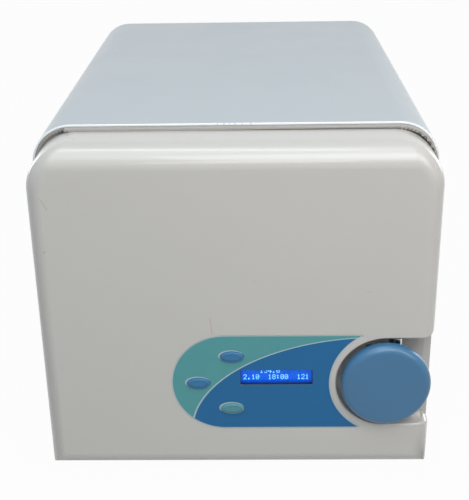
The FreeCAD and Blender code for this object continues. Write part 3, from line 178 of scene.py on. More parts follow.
def blendColour(tree, share, under, over):
    node = tree.nodes.new("ShaderNodeMix")
    node.data_type = "RGBA"
    plug(tree, share, node.inputs["Factor"])
    plug(tree, under, node.inputs["A"])
    plug(tree, over, node.inputs["B"])
    return node.outputs["Result"]


def relief(tree, shader, height, depth):
    bump = tree.nodes.new("ShaderNodeBump")
    bump.inputs["Strength"].default_value = 1.0
    bump.inputs["Distance"].default_value = depth
    tree.links.new(height, bump.inputs["Height"])
    tree.links.new(bump.outputs["Normal"], shader.inputs["Normal"])


patchEnds = (0.3, 0.7)  # the part of the noise's range that the patches use


def surface(name, colour, shade, rough, mottle=60.0, grain=900.0, grainDepth=0.00002,
            metal=0.0, coat=0.0, specular=0.5, stretch=None):
    # A finish that varies a little in colour and gloss, with a fine relief
    material, tree, shader = blank(name)
    coords = place(tree)
    patches = cloud(tree, coords, mottle, 5.0, stretch)
    fine = cloud(tree, coords, grain, 2.0, stretch)
    dark = tuple(part * (1 - shade) for part in colour[:3]) + (1.0,)
    light = tuple(min(1.0, part * (1 + shade)) for part in colour[:3]) + (1.0,)
    plug(tree, blendColour(tree, spread(tree, patches, *patchEnds, 0.0, 1.0), dark, light),
         shader.inputs["Base Color"])
    plug(tree, spread(tree, patches, *patchEnds, *rough), shader.inputs["Roughness"])
    relief(tree, shader, fine, grainDepth)
    shader.inputs["Metallic"].default_value = metal
    shader.inputs["Coat Weight"].default_value = coat
    shader.inputs["Specular IOR Level"].default_value = specular
    return material, tree, shader


def axes(tree):
    split = tree.nodes.new("ShaderNodeSeparateXYZ")
    tree.links.new(place(tree), split.inputs["Vector"])
    return split.outputs["X"], split.outputs["Y"], split.outputs["Z"]


def inside(tree, value, limit, soft):
    # 1 where the value is below the limit, fading out over soft
    return spread(tree, value, limit - soft, limit + soft, 1.0, 0.0)


def ovalReach(tree, x, z, centre, halves):
    # 1 on the oval's edge, less inside it
    across = calc(tree, "DIVIDE", calc(tree, "SUBTRACT", x, centre[0]), halves[0])
    up = calc(tree, "DIVIDE", calc(tree, "SUBTRACT", z, centre[1]), halves[1])
    total = calc(tree, "ADD", calc(tree, "MULTIPLY", across, across), calc(tree, "MULTIPLY", up, up))
    return calc(tree, "SQRT", total)


def stroke(tree, x, z, start, end, halfWidth):
    # 1 on a short straight mark between two points
    run = (end[0] - start[0], end[1] - start[1])
    length = math.hypot(*run)
    unit = (run[0] / length, run[1] / length)
    dx = calc(tree, "SUBTRACT", x, (start[0] + end[0]) / 2)
    dz = calc(tree, "SUBTRACT", z, (start[1] + end[1]) / 2)
    along = calc(tree, "ADD", calc(tree, "MULTIPLY", dx, unit[0]), calc(tree, "MULTIPLY", dz, unit[1]))
    beside = calc(tree, "ADD", calc(tree, "MULTIPLY", dx, -unit[1]), calc(tree, "MULTIPLY", dz, unit[0]))
    onLength = inside(tree, calc(tree, "ABSOLUTE", along), length / 2, length / 20)
    onWidth = inside(tree, calc(tree, "ABSOLUTE", beside), halfWidth, halfWidth / 2)
    return calc(tree, "MULTIPLY", onLength, onWidth)


# The door's satin plastic, with the few marks that use has left on it
doorFinish = {
    "colour": srgb(196, 192, 187),
    "shade": 0.006,
    "rough": (0.24, 0.27),
    "coat": 0.45,
    "coatRough": 0.04,
    "faceDepth": 0.035,
    "faceFade": 0.004,
    "topDepth": 0.001,
    "marks": [  # start, end, half width in mm, colour and strength
        ((-22.0, 159.1), (-20.5, 143.0), 0.25, srgb(190, 140, 155), 0.8),
        ((-154.6, 266.5), (-149.5, 256.5), 0.4, srgb(160, 156, 150), 0.5),
        ((-155.6, 220.6), (-154.2, 219.4), 0.6, srgb(140, 136, 130), 0.5),
        ((13.8, 193.2), (16.4, 192.8), 0.35, srgb(160, 156, 150), 0.35),
        ((107.6, 182.8), (111.2, 182.4), 0.35, srgb(160, 156, 150), 0.35),
        ((120.9, 26.6), (122.1, 24.9), 0.35, srgb(160, 156, 150), 0.4),
    ],
    "topMarks": [  # the same, lying on the door's flat top as x and y
        ((-129.3, -224.4), (-128.2, -223.5), 0.6, srgb(110, 112, 114), 0.7),
    ],
}


def makeDoorPlastic():
    material, tree, shader = surface("doorPlastic", doorFinish["colour"], doorFinish["shade"],
                                     doorFinish["rough"], mottle=14.0, grain=1400.0, grainDepth=0.000004,
                                     coat=doorFinish["coat"])
    x, y, z = axes(tree)
    onFace = inside(tree, y, cadLow.y + doorFinish["faceDepth"], doorFinish["faceFade"])
    onTop = calc(tree, "GREATER_THAN", z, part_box("door_cover")[1].z - doorFinish["topDepth"])
    colour = shader.inputs["Base Color"].links[0].from_socket
    for marks, across, mask in ((doorFinish["marks"], z, onFace), (doorFinish["topMarks"], y, onTop)):
        for start, end, halfWidth, tint, strength in marks:
            mark = stroke(tree, x, across, [part * mm for part in start], [part * mm for part in end],
                          halfWidth * mm)
            share = calc(tree, "MULTIPLY", calc(tree, "MULTIPLY", mark, mask), strength)
            colour = blendColour(tree, share, colour, tint)
    plug(tree, colour, shader.inputs["Base Color"])
    shader.inputs["Coat Roughness"].default_value = doorFinish["coatRough"]
    return material


# The printed film: teal at the left, blue at the right, with a pale line between them
labelPrint = {
    "teal": srgb(84, 151, 154),
    "blue": srgb(30, 101, 151),
    "line": srgb(170, 190, 195),
    "curveCentre": (118.0, 48.5),
    "curveHalves": (158.0, 91.4),
    "lineHalf": 0.0046,
    "leftEndX": -10.4,
    "middleZ": 96.4,
    "halfHeight": 45.6,
    "border": 0.55,
    "hollowCentre": (130.3, 96.4),
    "hollow": 51.2,
    "keyHalves": (10.8, 5.7),
    "keyShift": (-0.9, 0.8),
    "curveFade": 0.001,
    "borderFade": 0.1,
    "keyFade": 0.03,
}
keyCentres = {"key_upper": (-4.3, 121.8), "key_left": (-33.3, 96.1), "key_lower": (-4.3, 70.6)}


def makeLabelFilm():
    material, tree, shader = surface("labelFilm", labelPrint["teal"], 0.02, (0.34, 0.42), mottle=90.0,
                                     grain=2500.0, grainDepth=0.000006, specular=0.3)
    x, y, z = axes(tree)
    xs = calc(tree, "MULTIPLY", x, 1 / mm)
    zs = calc(tree, "MULTIPLY", z, 1 / mm)
    teal = shader.inputs["Base Color"].links[0].from_socket
    reach = ovalReach(tree, xs, zs, labelPrint["curveCentre"], labelPrint["curveHalves"])
    colour = blendColour(tree, inside(tree, reach, 1.0, labelPrint["curveFade"]), teal, labelPrint["blue"])
    offLine = calc(tree, "ABSOLUTE", calc(tree, "SUBTRACT", reach, 1.0))
    line = inside(tree, offLine, labelPrint["lineHalf"], labelPrint["curveFade"])
    colour = blendColour(tree, line, colour, labelPrint["line"])
    # The pale border follows the film's outline: a straight run, a half round end and a hollow
    up = calc(tree, "ABSOLUTE", calc(tree, "SUBTRACT", zs, labelPrint["middleZ"]))
    left = calc(tree, "MAXIMUM", calc(tree, "SUBTRACT", labelPrint["leftEndX"], xs), 0.0)
    fromEdge = calc(tree, "SUBTRACT", labelPrint["halfHeight"],
                    calc(tree, "SQRT", calc(tree, "ADD", calc(tree, "MULTIPLY", up, up),
                                            calc(tree, "MULTIPLY", left, left))))
    hollowReach = ovalReach(tree, xs, zs, labelPrint["hollowCentre"], (1.0, 1.0))
    fromHollow = calc(tree, "SUBTRACT", hollowReach, labelPrint["hollow"])
    border = inside(tree, calc(tree, "MINIMUM", fromEdge, fromHollow), labelPrint["border"],
                    labelPrint["borderFade"])
    colour = blendColour(tree, border, colour, labelPrint["line"])
    for centre in keyCentres.values():
        shifted = [spot + shift for spot, shift in zip(centre, labelPrint["keyShift"])]
        glint = inside(tree, ovalReach(tree, xs, zs, shifted, labelPrint["keyHalves"]), 1.0,
                       labelPrint["keyFade"])
        colour = blendColour(tree, glint, colour, labelPrint["line"])
    plug(tree, colour, shader.inputs["Base Color"])
    return material


def makeBrushed(name, colour, stretch, rough=(0.27, 0.33)):
    material, tree, shader = surface(name, colour, 0.03, rough, mottle=30.0, grain=400.0,
                                     grainDepth=0.00001, metal=1.0, stretch=stretch)
    return material


turnedRings = {
    "rate": 9000.0,
    "depth": 0.000003,
}


def makeTurned(name, colour, centre):
    # Fine rings about the lid's axis, as left by polishing on a lathe
    material, tree, shader = surface(name, colour, 0.02, (0.22, 0.28), mottle=40.0, metal=1.0)
    x, y, z = axes(tree)
    radius = ovalReach(tree, x, z, centre, (1.0, 1.0))
    wave = calc(tree, "SINE", calc(tree, "MULTIPLY", radius, turnedRings["rate"]))
    relief(tree, shader, wave, turnedRings["depth"])
    return material


# The cover's powder coat, with a painted highlight along its folded front edge and the chips along it
coverFinish = {
    "colour": srgb(175, 182, 187),
    "hemHighlight": srgb(236, 238, 240),
    "highlightReach": 0.7,
    "fade": 0.0002,
    "topDepth": 0.0012,
    "chipStrength": 0.4,
    "chip": srgb(120, 122, 124),
    "chips": [(-14.0, 0.5), (-8.6, 0.8), (-4.0, 0.4), (0.5, 1.0), (6.4, 0.5), (13.5, 0.7)],  # x, half length
}


def makeCoverPaint():
    material, tree, shader = surface("coverPaint", coverFinish["colour"], 0.015, (0.30, 0.40), mottle=18.0,
                                     grain=1100.0, grainDepth=0.00001, coat=0.1)
    x, y, z = axes(tree)
    colour = shader.inputs["Base Color"].links[0].from_socket
    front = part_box("outer_cover")[0].y
    # painted highlight: a pale band along the cover's folded front edge
    hemHighlight = inside(tree, y, front + coverFinish["highlightReach"] * mm, coverFinish["fade"])
    colour = blendColour(tree, hemHighlight, colour, coverFinish["hemHighlight"])
    high = calc(tree, "GREATER_THAN", z, cadHigh.z - coverFinish["topDepth"])
    for spot, halfLength in coverFinish["chips"]:
        along = calc(tree, "ABSOLUTE", calc(tree, "SUBTRACT", x, spot * mm))
        chip = inside(tree, along, halfLength * mm, coverFinish["fade"])
        share = calc(tree, "MULTIPLY", calc(tree, "MULTIPLY", chip, hemHighlight),
                     calc(tree, "MULTIPLY", high, coverFinish["chipStrength"]))
        colour = blendColour(tree, share, colour, coverFinish["chip"])
    plug(tree, colour, shader.inputs["Base Color"])
    return material


windowFinish = {
    "tint": (0.50, 0.85, 1.0, 1.0),
    "rough": (0.02, 0.06),
    "smear": 120.0,
    "bend": 1.2,
}


def makeGlass():
    material, tree, shader = blank("clearWindow")
    smear = cloud(tree, place(tree), windowFinish["smear"])
    plug(tree, spread(tree, smear, *patchEnds, *windowFinish["rough"]), shader.inputs["Roughness"])
    shader.inputs["Base Color"].default_value = windowFinish["tint"]
    shader.inputs["Transmission Weight"].default_value = 1.0
    shader.inputs["IOR"].default_value = windowFinish["bend"]
    return material


def makeLit(name, colour, glow):
    # A back-lit face, a little uneven from one end to the other
    material, tree, shader = surface(name, colour, 0.05, (0.35, 0.45), mottle=25.0)
    colourSocket = shader.inputs["Base Color"].links[0].from_socket
    tree.links.new(colourSocket, shader.inputs["Emission Color"])
    shader.inputs["Emission Strength"].default_value = glow
    return material


quiltWeave = {
    "rate": 2400.0,
    "depth": 0.0004,
}


def makeWoven(name, colour):
    material, tree, shader = surface(name, colour, 0.08, (0.85, 0.95), mottle=50.0, grain=300.0)
    x, y, z = axes(tree)
    along = calc(tree, "SINE", calc(tree, "MULTIPLY", y, quiltWeave["rate"]))
    across = calc(tree, "SINE", calc(tree, "MULTIPLY", calc(tree, "ADD", x, z), quiltWeave["rate"]))
    relief(tree, shader, calc(tree, "MULTIPLY", along, across), quiltWeave["depth"])
    return material


steel = srgb(196, 196, 194)
finishes = {
    "doorPlastic": makeDoorPlastic(),
    "labelFilm": makeLabelFilm(),
    "coverPaint": makeCoverPaint(),
    "frameMoulding": surface("frameMoulding", srgb(168, 163, 158), 0.03, (0.40, 0.55), mottle=35.0,
                             grain=1600.0, grainDepth=0.00002)[0],
    "knobPlastic": surface("knobPlastic", srgb(62, 112, 150), 0.02, (0.30, 0.38), mottle=30.0, grain=1500.0,
                           grainDepth=0.000006, coat=0.5, specular=0.25)[0],
    "keyBlue": surface("keyBlue", srgb(46, 112, 158), 0.03, (0.30, 0.40), mottle=120.0, grain=1800.0)[0],
    "keyTeal": surface("keyTeal", srgb(78, 138, 148), 0.03, (0.30, 0.40), mottle=120.0, grain=1800.0)[0],
    "clearWindow": makeGlass(),
    "backLight": makeLit("backLight", srgb(0, 84, 200), 0.5),
    "litDots": makeLit("litDots", srgb(190, 225, 255), 1.0),
    "blackPlastic": surface("blackPlastic", srgb(32, 32, 34), 0.08, (0.45, 0.60), mottle=80.0, grain=1500.0,
                            grainDepth=0.00003)[0],
    "boardGreen": surface("boardGreen", srgb(38, 96, 62), 0.10, (0.35, 0.50), mottle=150.0)[0],
    "stainless": makeBrushed("stainless", steel, (1.0, 0.04, 1.0)),
    "turnedSteel": makeTurned("turnedSteel", steel, (0.0, middle("pressure_lid").z)),
    "trayWire": makeBrushed("trayWire", srgb(205, 204, 200), (0.06, 1.0, 1.0), (0.25, 0.40)),
    "plated": surface("plated", srgb(200, 200, 202), 0.06, (0.18, 0.32), mottle=250.0, metal=1.0)[0],
    "chrome": surface("chrome", srgb(214, 214, 216), 0.03, (0.06, 0.14), mottle=120.0, grainDepth=0.000004,
                      metal=1.0)[0],
    "castAlloy": surface("castAlloy", srgb(160, 161, 162), 0.10, (0.50, 0.70), mottle=120.0, grain=700.0,
                         grainDepth=0.00012, metal=0.9)[0],
    "zincSheet": surface("zincSheet", srgb(172, 176, 178), 0.08, (0.35, 0.55), mottle=45.0, metal=0.6)[0],
    "brass": surface("brass", srgb(196, 162, 92), 0.10, (0.24, 0.42), mottle=160.0, metal=1.0)[0],
    "silicone": surface("silicone", srgb(206, 203, 196), 0.04, (0.40, 0.55), mottle=60.0)[0],
    "footRubber": surface("footRubber", srgb(38, 37, 36), 0.12, (0.75, 0.90), mottle=90.0, grain=900.0,
                          grainDepth=0.00008)[0],
    "quilt": makeWoven("quilt", srgb(214, 208, 194)),
    "varnish": surface("varnish", srgb(58, 56, 58), 0.15, (0.45, 0.65), mottle=90.0)[0],
    "windingTape": surface("windingTape", srgb(206, 176, 84), 0.08, (0.40, 0.55), mottle=70.0)[0],
}

dressing = {
    "doorPlastic": ["door_cover"],
    "labelFilm": ["panel_label"],
    "coverPaint": ["outer_cover", "rear_panel"],
    "frameMoulding": ["front_frame"],
    "knobPlastic": ["knob"],
    "keyBlue": ["key_upper", "key_left"],
    "keyTeal": ["key_lower"],
    "clearWindow": ["display_glass"],
    "blackPlastic": ["display_module", "tact_switches", "lock_yoke", "power_inlet", "switch_housing",
                     "switch_rocker", "fuse_holders", "steam_valve_coil"],
    "boardGreen": ["control_board", "power_board"],
    "stainless": ["door_liner", "chamber_flange", "chamber_shell", "chamber_end", "heater_band"],
    "turnedSteel": ["pressure_lid"],
    "trayWire": ["tray_rack", "trays"],
    "plated": ["liner_screws", "lid_stud", "lid_washer", "lid_nut", "board_screws", "spindle_clip",
               "hinge_bolts", "flange_bolts", "frame_screws", "cabinet_screws", "foot_screws",
               "temperature_probe"],
    "chrome": ["lock_spindle", "yoke_pin", "inlet_blades", "hinge_pins"],
    "castAlloy": ["door_arm", "hinge_brackets"],
    "zincSheet": ["rear_cradle", "front_bulkhead", "base_pan"],
    "brass": ["lock_nut", "safety_valve_body", "safety_valve_stem", "steam_valve_body", "drain_spigot"],
    "silicone": ["door_seal"],
    "footRubber": ["rubber_feet"],
    "quilt": ["insulation_blanket"],
    "varnish": ["transformer_core"],
    "windingTape": ["transformer_coil"],
}
for finish, members in dressing.items():
    for member in members:
        mesh = nodes[member].data
        mesh.materials.clear()
        mesh.materials.append(finishes[finish])
print("materials:", len(finishes), "finishes on", sum(len(members) for members in dressing.values()), "nodes")


# Camera, floor and light

cameraSetup = {
    "place": (0.0166, -0.9790, 0.5411),
    "yaw": -0.0234,
    "pitch": 0.4128,
    "roll": -0.017,
    "focalPixels": 987.4,
    "longSide": 500,
    "sensorWidth": 36.0,
}


def makeCamera():
    yaw, pitch, roll = cameraSetup["yaw"], cameraSetup["pitch"], cameraSetup["roll"]
    ahead = Vector((math.sin(yaw) * math.cos(pitch), math.cos(yaw) * math.cos(pitch), -math.sin(pitch)))
    right = Vector((math.cos(yaw), -math.sin(yaw), 0))
    up = right.cross(ahead)
    rolledRight = math.cos(roll) * right + math.sin(roll) * up
    rolledUp = -math.sin(roll) * right + math.cos(roll) * up
    bpy.ops.object.camera_add(location=cameraSetup["place"])
    camera = bpy.context.active_object
    turn = Matrix((rolledRight, rolledUp, -ahead)).transposed()
    camera.matrix_world = Matrix.Translation(cameraSetup["place"]) @ turn.to_4x4()
    camera.data.sensor_width = cameraSetup["sensorWidth"]
    camera.data.lens = cameraSetup["focalPixels"] / cameraSetup["longSide"] * cameraSetup["sensorWidth"]
    bpy.context.scene.camera = camera


studio = {
    "floorSide": 12.0,
    "floorColour": (0.36, 0.36, 0.36, 1.0),
    "floorGlow": 0.97,
    "skyColour": (0.84, 0.93, 1.0, 1.0),
    "skyLight": 0.25,
    "lamps": [  # name, place, aim, width and height in metres, power in watts, colour
        ("overhead", (-0.2, -1.2, 2.5), (0.0, -0.1, 0.2), (2.6, 2.6), 42.0, (0.80, 0.93, 1.0)),
        ("front", (-0.9, -2.3, 1.4), (0.0, -0.1, 0.15), (1.4, 1.4), 2.0, (1.0, 0.96, 0.92)),
        ("side", (1.4, -1.4, 0.95), (0.1, -0.2, 0.15), (0.8, 0.8), 5.5, (1.0, 0.96, 0.92)),
        ("nearCamera", (0.38, -0.95, 1.0), (0.1, -0.25, 0.2), (1.1, 0.6), 5.4, (1.0, 0.95, 0.90)),
        ("topStrip", (-0.1, -0.5, 2.1), (0.0, -0.24, 0.3), (0.9, 0.12), 2.2, (1.0, 1.0, 1.0)),
        ("lowStrip", (0.0, -2.1, 1.08), (0.0, -0.24, 0.3), (0.6, 0.10), 1.4, (1.0, 1.0, 1.0)),
        ("behindRight", (1.8, 1.6, 0.5), (0.0, 0.1, 0.15), (0.9, 0.9), 9.0, (0.95, 0.98, 1.0)),
        ("behindLeft", (-1.8, 1.6, 0.5), (0.0, 0.1, 0.15), (0.9, 0.9), 9.0, (0.95, 0.98, 1.0)),
    ],
}


def seenDirectly(tree):
    # 1 for rays from the camera, and for those that metal and glass send on
    path = tree.nodes.new("ShaderNodeLightPath")
    total = calc(tree, "MAXIMUM", path.outputs["Is Camera Ray"], path.outputs["Is Glossy Ray"])
    return calc(tree, "MAXIMUM", total, path.outputs["Is Transmission Ray"])


def makeStudio():
    bpy.ops.mesh.primitive_plane_add(size=studio["floorSide"], location=(0, 0, 0))
    floor = bpy.context.active_object
    floor.name = "floor"
    material = bpy.data.materials.new("paleFloor")
    material.use_nodes = True
    tree = material.node_tree
    tree.nodes.clear()
    output = tree.nodes.new("ShaderNodeOutputMaterial")
    matt = tree.nodes.new("ShaderNodeBsdfDiffuse")
    matt.inputs["Color"].default_value = studio["floorColour"]
    white = tree.nodes.new("ShaderNodeEmission")
    mix = tree.nodes.new("ShaderNodeMixShader")
    share = calc(tree, "MULTIPLY", seenDirectly(tree), studio["floorGlow"])
    tree.links.new(share, mix.inputs["Fac"])
    tree.links.new(matt.outputs["BSDF"], mix.inputs[1])
    tree.links.new(white.outputs["Emission"], mix.inputs[2])
    tree.links.new(mix.outputs["Shader"], output.inputs["Surface"])
    floor.data.materials.append(material)

    world = bpy.data.worlds.new("studioWorld")
    bpy.context.scene.world = world
    world.use_nodes = True
    tree = world.node_tree
    tree.nodes.clear()
    output = tree.nodes.new("ShaderNodeOutputWorld")
    sky = tree.nodes.new("ShaderNodeBackground")
    sky.inputs["Color"].default_value = studio["skyColour"]
    sky.inputs["Strength"].default_value = studio["skyLight"]
    backdrop = tree.nodes.new("ShaderNodeBackground")
    mix = tree.nodes.new("ShaderNodeMixShader")
    backdrop.inputs["Color"].default_value = (1.0, 1.0, 1.0, 1.0)
    tree.links.new(seenDirectly(tree), mix.inputs["Fac"])
    tree.links.new(sky.outputs["Background"], mix.inputs[1])
    tree.links.new(backdrop.outputs["Background"], mix.inputs[2])
    tree.links.new(mix.outputs["Shader"], output.inputs["Surface"])

    for name, spot, aim, sides, power, colour in studio["lamps"]:
        bpy.ops.object.light_add(type="AREA", location=spot)
        lamp = bpy.context.active_object
        lamp.name = name
        lamp.data.shape = "RECTANGLE"
        lamp.data.size, lamp.data.size_y = sides
        lamp.data.energy = power
        lamp.data.color = colour
        lamp.rotation_mode = "QUATERNION"
        lamp.rotation_quaternion = (Vector(aim) - Vector(spot)).to_track_quat("-Z", "Y")


clearSelection()
makeCamera()
makeStudio()
bpy.context.scene.view_settings.view_transform = "Standard"
print("camera, floor and lamps set")


# Smooth shells: copies of CAD pieces whose shading has to run round their curves

shellShading = {
    "mergeGap": 2e-6,
    "angle": 30,
    "weight": 100,
}
shellNodes = {
    "doorMoulding": "door_cover",
    "coverSheet": "outer_cover",
    "mouthSurround": "front_frame",
    "doorArmCasting": "door_arm",
    "lidDish": "pressure_lid",
    "lidSeal": "door_seal",
    "lidStud": "lid_stud",
    "lidWasher": "lid_washer",
    "closingScrew": "lock_spindle",
    "closingYoke": "lock_yoke",
    "yokePin": "yoke_pin",
    "closingNut": "lock_nut",
    "mouthFlange": "chamber_flange",
    "chamberTube": "chamber_shell",
    "chamberEnd": "chamber_end",
    "heaterBand": "heater_band",
    "chamberQuilt": "insulation_blanket",
    "hingeBrackets": "hinge_brackets",
    "hingePins": "hinge_pins",
    "hingeBolts": "hinge_bolts",
    "flangeBolts": "flange_bolts",
    "chamberPlate": "front_bulkhead",
    "basePan": "base_pan",
    "rearPanel": "rear_panel",
    "feet": "rubber_feet",
    "inletBody": "power_inlet",
    "fuseCarriers": "fuse_holders",
    "switchBody": "switch_housing",
    "switchRocker": "switch_rocker",
    "safetyValve": "safety_valve_body",
    "safetyValveStem": "safety_valve_stem",
    "steamValve": "steam_valve_body",
    "drainTail": "drain_spigot",
    "tempProbe": "temperature_probe",
    "trayRack": "tray_rack",
    "traySet": "trays",
}
bodyOf = {node: body for body, members in frame["record"]["behaviour"]["bodies"].items() for node in members}
finishOf = {node: finish for finish, members in dressing.items() for node in members}


def mergedCopy(node):
    # A CAD node's mesh is loose triangles, so the copy's corners are merged; left in edit mode
    source = nodes[node]
    copy = source.copy()
    copy.data = source.data.copy()
    bpy.context.scene.collection.objects.link(copy)
    makeActive(copy)
    bpy.ops.object.mode_set(mode="EDIT")
    bpy.ops.mesh.select_all(action="SELECT")
    bpy.ops.mesh.remove_doubles(threshold=shellShading["mergeGap"])
    return copy


def smoothShell(name, node):
    shell = mergedCopy(node)
    bpy.ops.object.mode_set(mode="OBJECT")
    shell.name = name
    for key in list(shell.keys()):
        del shell[key]
    shell.parent = None
    smoothEdges(shell, shellShading["angle"])
    applyModifier(shell, "WEIGHTED_NORMAL", keep_sharp=True, weight=shellShading["weight"])
    finishPiece(shell, bodyOf[node], finishes[finishOf[node]], [node])


for name, node in shellNodes.items():
    smoothShell(name, node)
print("smooth shells made")


# The knob

knobShape = {
    "radius": 0.0383,
    "thickness": 0.010,
    "edgeRound": 0.0062,
    "hubRadius": 0.013,
    "sides": 128,
    "roundSteps": 12,
    "smoothAngle": 35,
}


def makeKnob():
    low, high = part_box("knob")
    centre = (low + high) / 2
    thickness = knobShape["thickness"]
    clearSelection()
    bpy.ops.mesh.primitive_cylinder_add(vertices=knobShape["sides"], radius=knobShape["radius"],
                                        depth=thickness, location=(centre.x, low.y + thickness / 2, centre.z),
                                        rotation=(math.pi / 2, 0, 0))
    knob = bpy.context.active_object
    knob.name = "knobBody"
    settle(knob)
    pickFaces(knob, lambda face: face.normal.y < -0.9)
    bpy.ops.mesh.bevel(offset=knobShape["edgeRound"], segments=knobShape["roundSteps"], affect="EDGES")
    bpy.ops.object.mode_set(mode="OBJECT")
    pickFaces(knob, lambda face: face.normal.y > 0.9)
    bpy.ops.mesh.inset(thickness=knobShape["radius"] - knobShape["hubRadius"])
    bpy.ops.mesh.extrude_region_move(TRANSFORM_OT_translate={"value": (0, high.y - low.y - thickness, 0)})
    bpy.ops.object.mode_set(mode="OBJECT")
    pickFaces(knob, lambda face: abs(face.normal.y) < 0.1 and face.center.y < low.y + thickness)
    bpy.ops.object.mode_set(mode="OBJECT")
    smoothEdges(knob, knobShape["smoothAngle"])
    finishPiece(knob, "knob_screw", finishes["knobPlastic"], ["knob"])


makeKnob()
print("knob made")


# The oval keys, each a shallow dome with a soft edge

keyShape = {
    "width": 0.0200,
    "height": 0.0102,
    "edgeRound": 0.0008,
    "edgeSteps": 4,
    "dome": 0.0003,
    "domeStep": 0.001275,
    "sides": 64,
    "smoothAngle": 40,
}


def makeKey(name, node, finish):
    low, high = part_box(node)
    centre = (low + high) / 2
    depth = high.y - low.y
    clearSelection()
    bpy.ops.mesh.primitive_cylinder_add(vertices=keyShape["sides"], radius=0.5, depth=depth,
                                        location=(centre.x, low.y + depth / 2, centre.z),
                                        rotation=(math.pi / 2, 0, 0))
    key = bpy.context.active_object
    key.name = name
    key.scale = (keyShape["width"], keyShape["height"], 1.0)
    settle(key)
    pickFaces(key, lambda face: face.normal.y < -0.9)
    bpy.ops.mesh.bevel(offset=keyShape["edgeRound"], segments=keyShape["edgeSteps"],
                       affect="EDGES")
    bpy.ops.object.mode_set(mode="OBJECT")
    pickFaces(key, lambda face: face.normal.y < -0.98)
    bpy.ops.mesh.inset(thickness=keyShape["domeStep"])
    bpy.ops.mesh.inset(thickness=keyShape["domeStep"])
    bpy.ops.transform.translate(value=(0, keyShape["dome"], 0))
    bpy.ops.object.mode_set(mode="OBJECT")
    smoothEdges(key, keyShape["smoothAngle"])
    finishPiece(key, node, finishes[finish], [node])


makeKey("keyUpper", "key_upper", "keyBlue")
makeKey("keyLeft", "key_left", "keyBlue")
makeKey("keyLower", "key_lower", "keyTeal")
print("keys made")


# The display: a back-lit face and dot-matrix numbers

displayShape = {
    "glassThickness": 0.0005,
    "airGap": 0.0003,
    "faceInset": 0.0003,
    "glassMargin": 0.0016,
    "filmBack": 0.0006,
    "shadeLiningThickness": 0.0003,
    "columns": 16,
    "rows": 2,
    "charPitch": (0.00355, 0.0055),
    "dotRise": 0.0008,
    "dotColumns": 6,
    "dotRows": 9,
    "dotGap": 0.00004,
    "lift": 0.00005,
    "lines": ["    134.0       ", "2.10  18:00  121"],
}
dotDigits = {
    "0": ["01110", "10001", "10011", "10101", "11001", "10001", "01110"],
    "1": ["00100", "01100", "00100", "00100", "00100", "00100", "01110"],
    "2": ["01110", "10001", "00001", "00010", "00100", "01000", "11111"],
    "3": ["11111", "00010", "00100", "00010", "00001", "10001", "01110"],
    "4": ["00010", "00110", "01010", "10010", "11111", "00010", "00010"],
    "8": ["01110", "10001", "10001", "01110", "10001", "10001", "01110"],
    ".": ["00000", "00000", "00000", "00000", "00000", "01100", "01100"],
    ":": ["00000", "01100", "01100", "00000", "01100", "01100", "00000"],
}


def litDot(column, row):
    # Whether one cell of the display's grid is lit; row 0 is at the top
    line = displayShape["lines"][row // displayShape["dotRows"]]
    letter = line[column // displayShape["dotColumns"]]
    dotX, dotY = column % displayShape["dotColumns"], row % displayShape["dotRows"]
    if letter not in dotDigits or dotX > 4 or dotY > 6:
        return False
    return dotDigits[letter][dotY][dotX] == "1"


def makePane(name, front, back, inset):
    # A flat pane behind the window, as wide and tall as the CAD's glass less the inset
    low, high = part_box("display_glass")
    clearSelection()
    bpy.ops.mesh.primitive_cube_add(size=1.0, location=((low.x + high.x) / 2, (front + back) / 2,
                                                        (low.z + high.z) / 2))
    pane = bpy.context.active_object
    pane.name = name
    pane.scale = (high.x - low.x - 2 * inset, back - front, high.z - low.z - 2 * inset)
    settle(pane)
    pickFaces(pane, lambda side: side.normal.y < -0.9)
    bpy.ops.mesh.bevel(offset=(back - front) / 4, segments=2, affect="EDGES")
    bpy.ops.object.mode_set(mode="OBJECT")
    smoothEdges(pane, 30)
    return pane


def makeShadeLining():
    # Painted shade: a black sleeve lines the window's opening, between the film and the glass, where the
    # recess falls in shadow
    glassLow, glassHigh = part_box("display_glass")
    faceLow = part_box("door_cover")[0].y
    margin = displayShape["glassMargin"]
    clearSelection()
    bpy.ops.mesh.primitive_cube_add(size=1.0, location=((glassLow.x + glassHigh.x) / 2,
                                                        (faceLow + displayShape["filmBack"] + glassLow.y) / 2,
                                                        (glassLow.z + glassHigh.z) / 2))
    shadeLining = bpy.context.active_object
    shadeLining.name = "windowShadeLining"
    shadeLining.scale = (glassHigh.x - glassLow.x - 2 * margin, glassLow.y - faceLow - displayShape["filmBack"],
                    glassHigh.z - glassLow.z - 2 * margin)
    settle(shadeLining)
    pickFaces(shadeLining, lambda side: abs(side.normal.y) > 0.9)
    bpy.ops.mesh.delete(type="FACE")
    bpy.ops.object.mode_set(mode="OBJECT")
    applyModifier(shadeLining, "SOLIDIFY", thickness=displayShape["shadeLiningThickness"], offset=-1.0,
                  use_even_offset=True)
    finishPiece(shadeLining, "door", finishes["blackPlastic"])


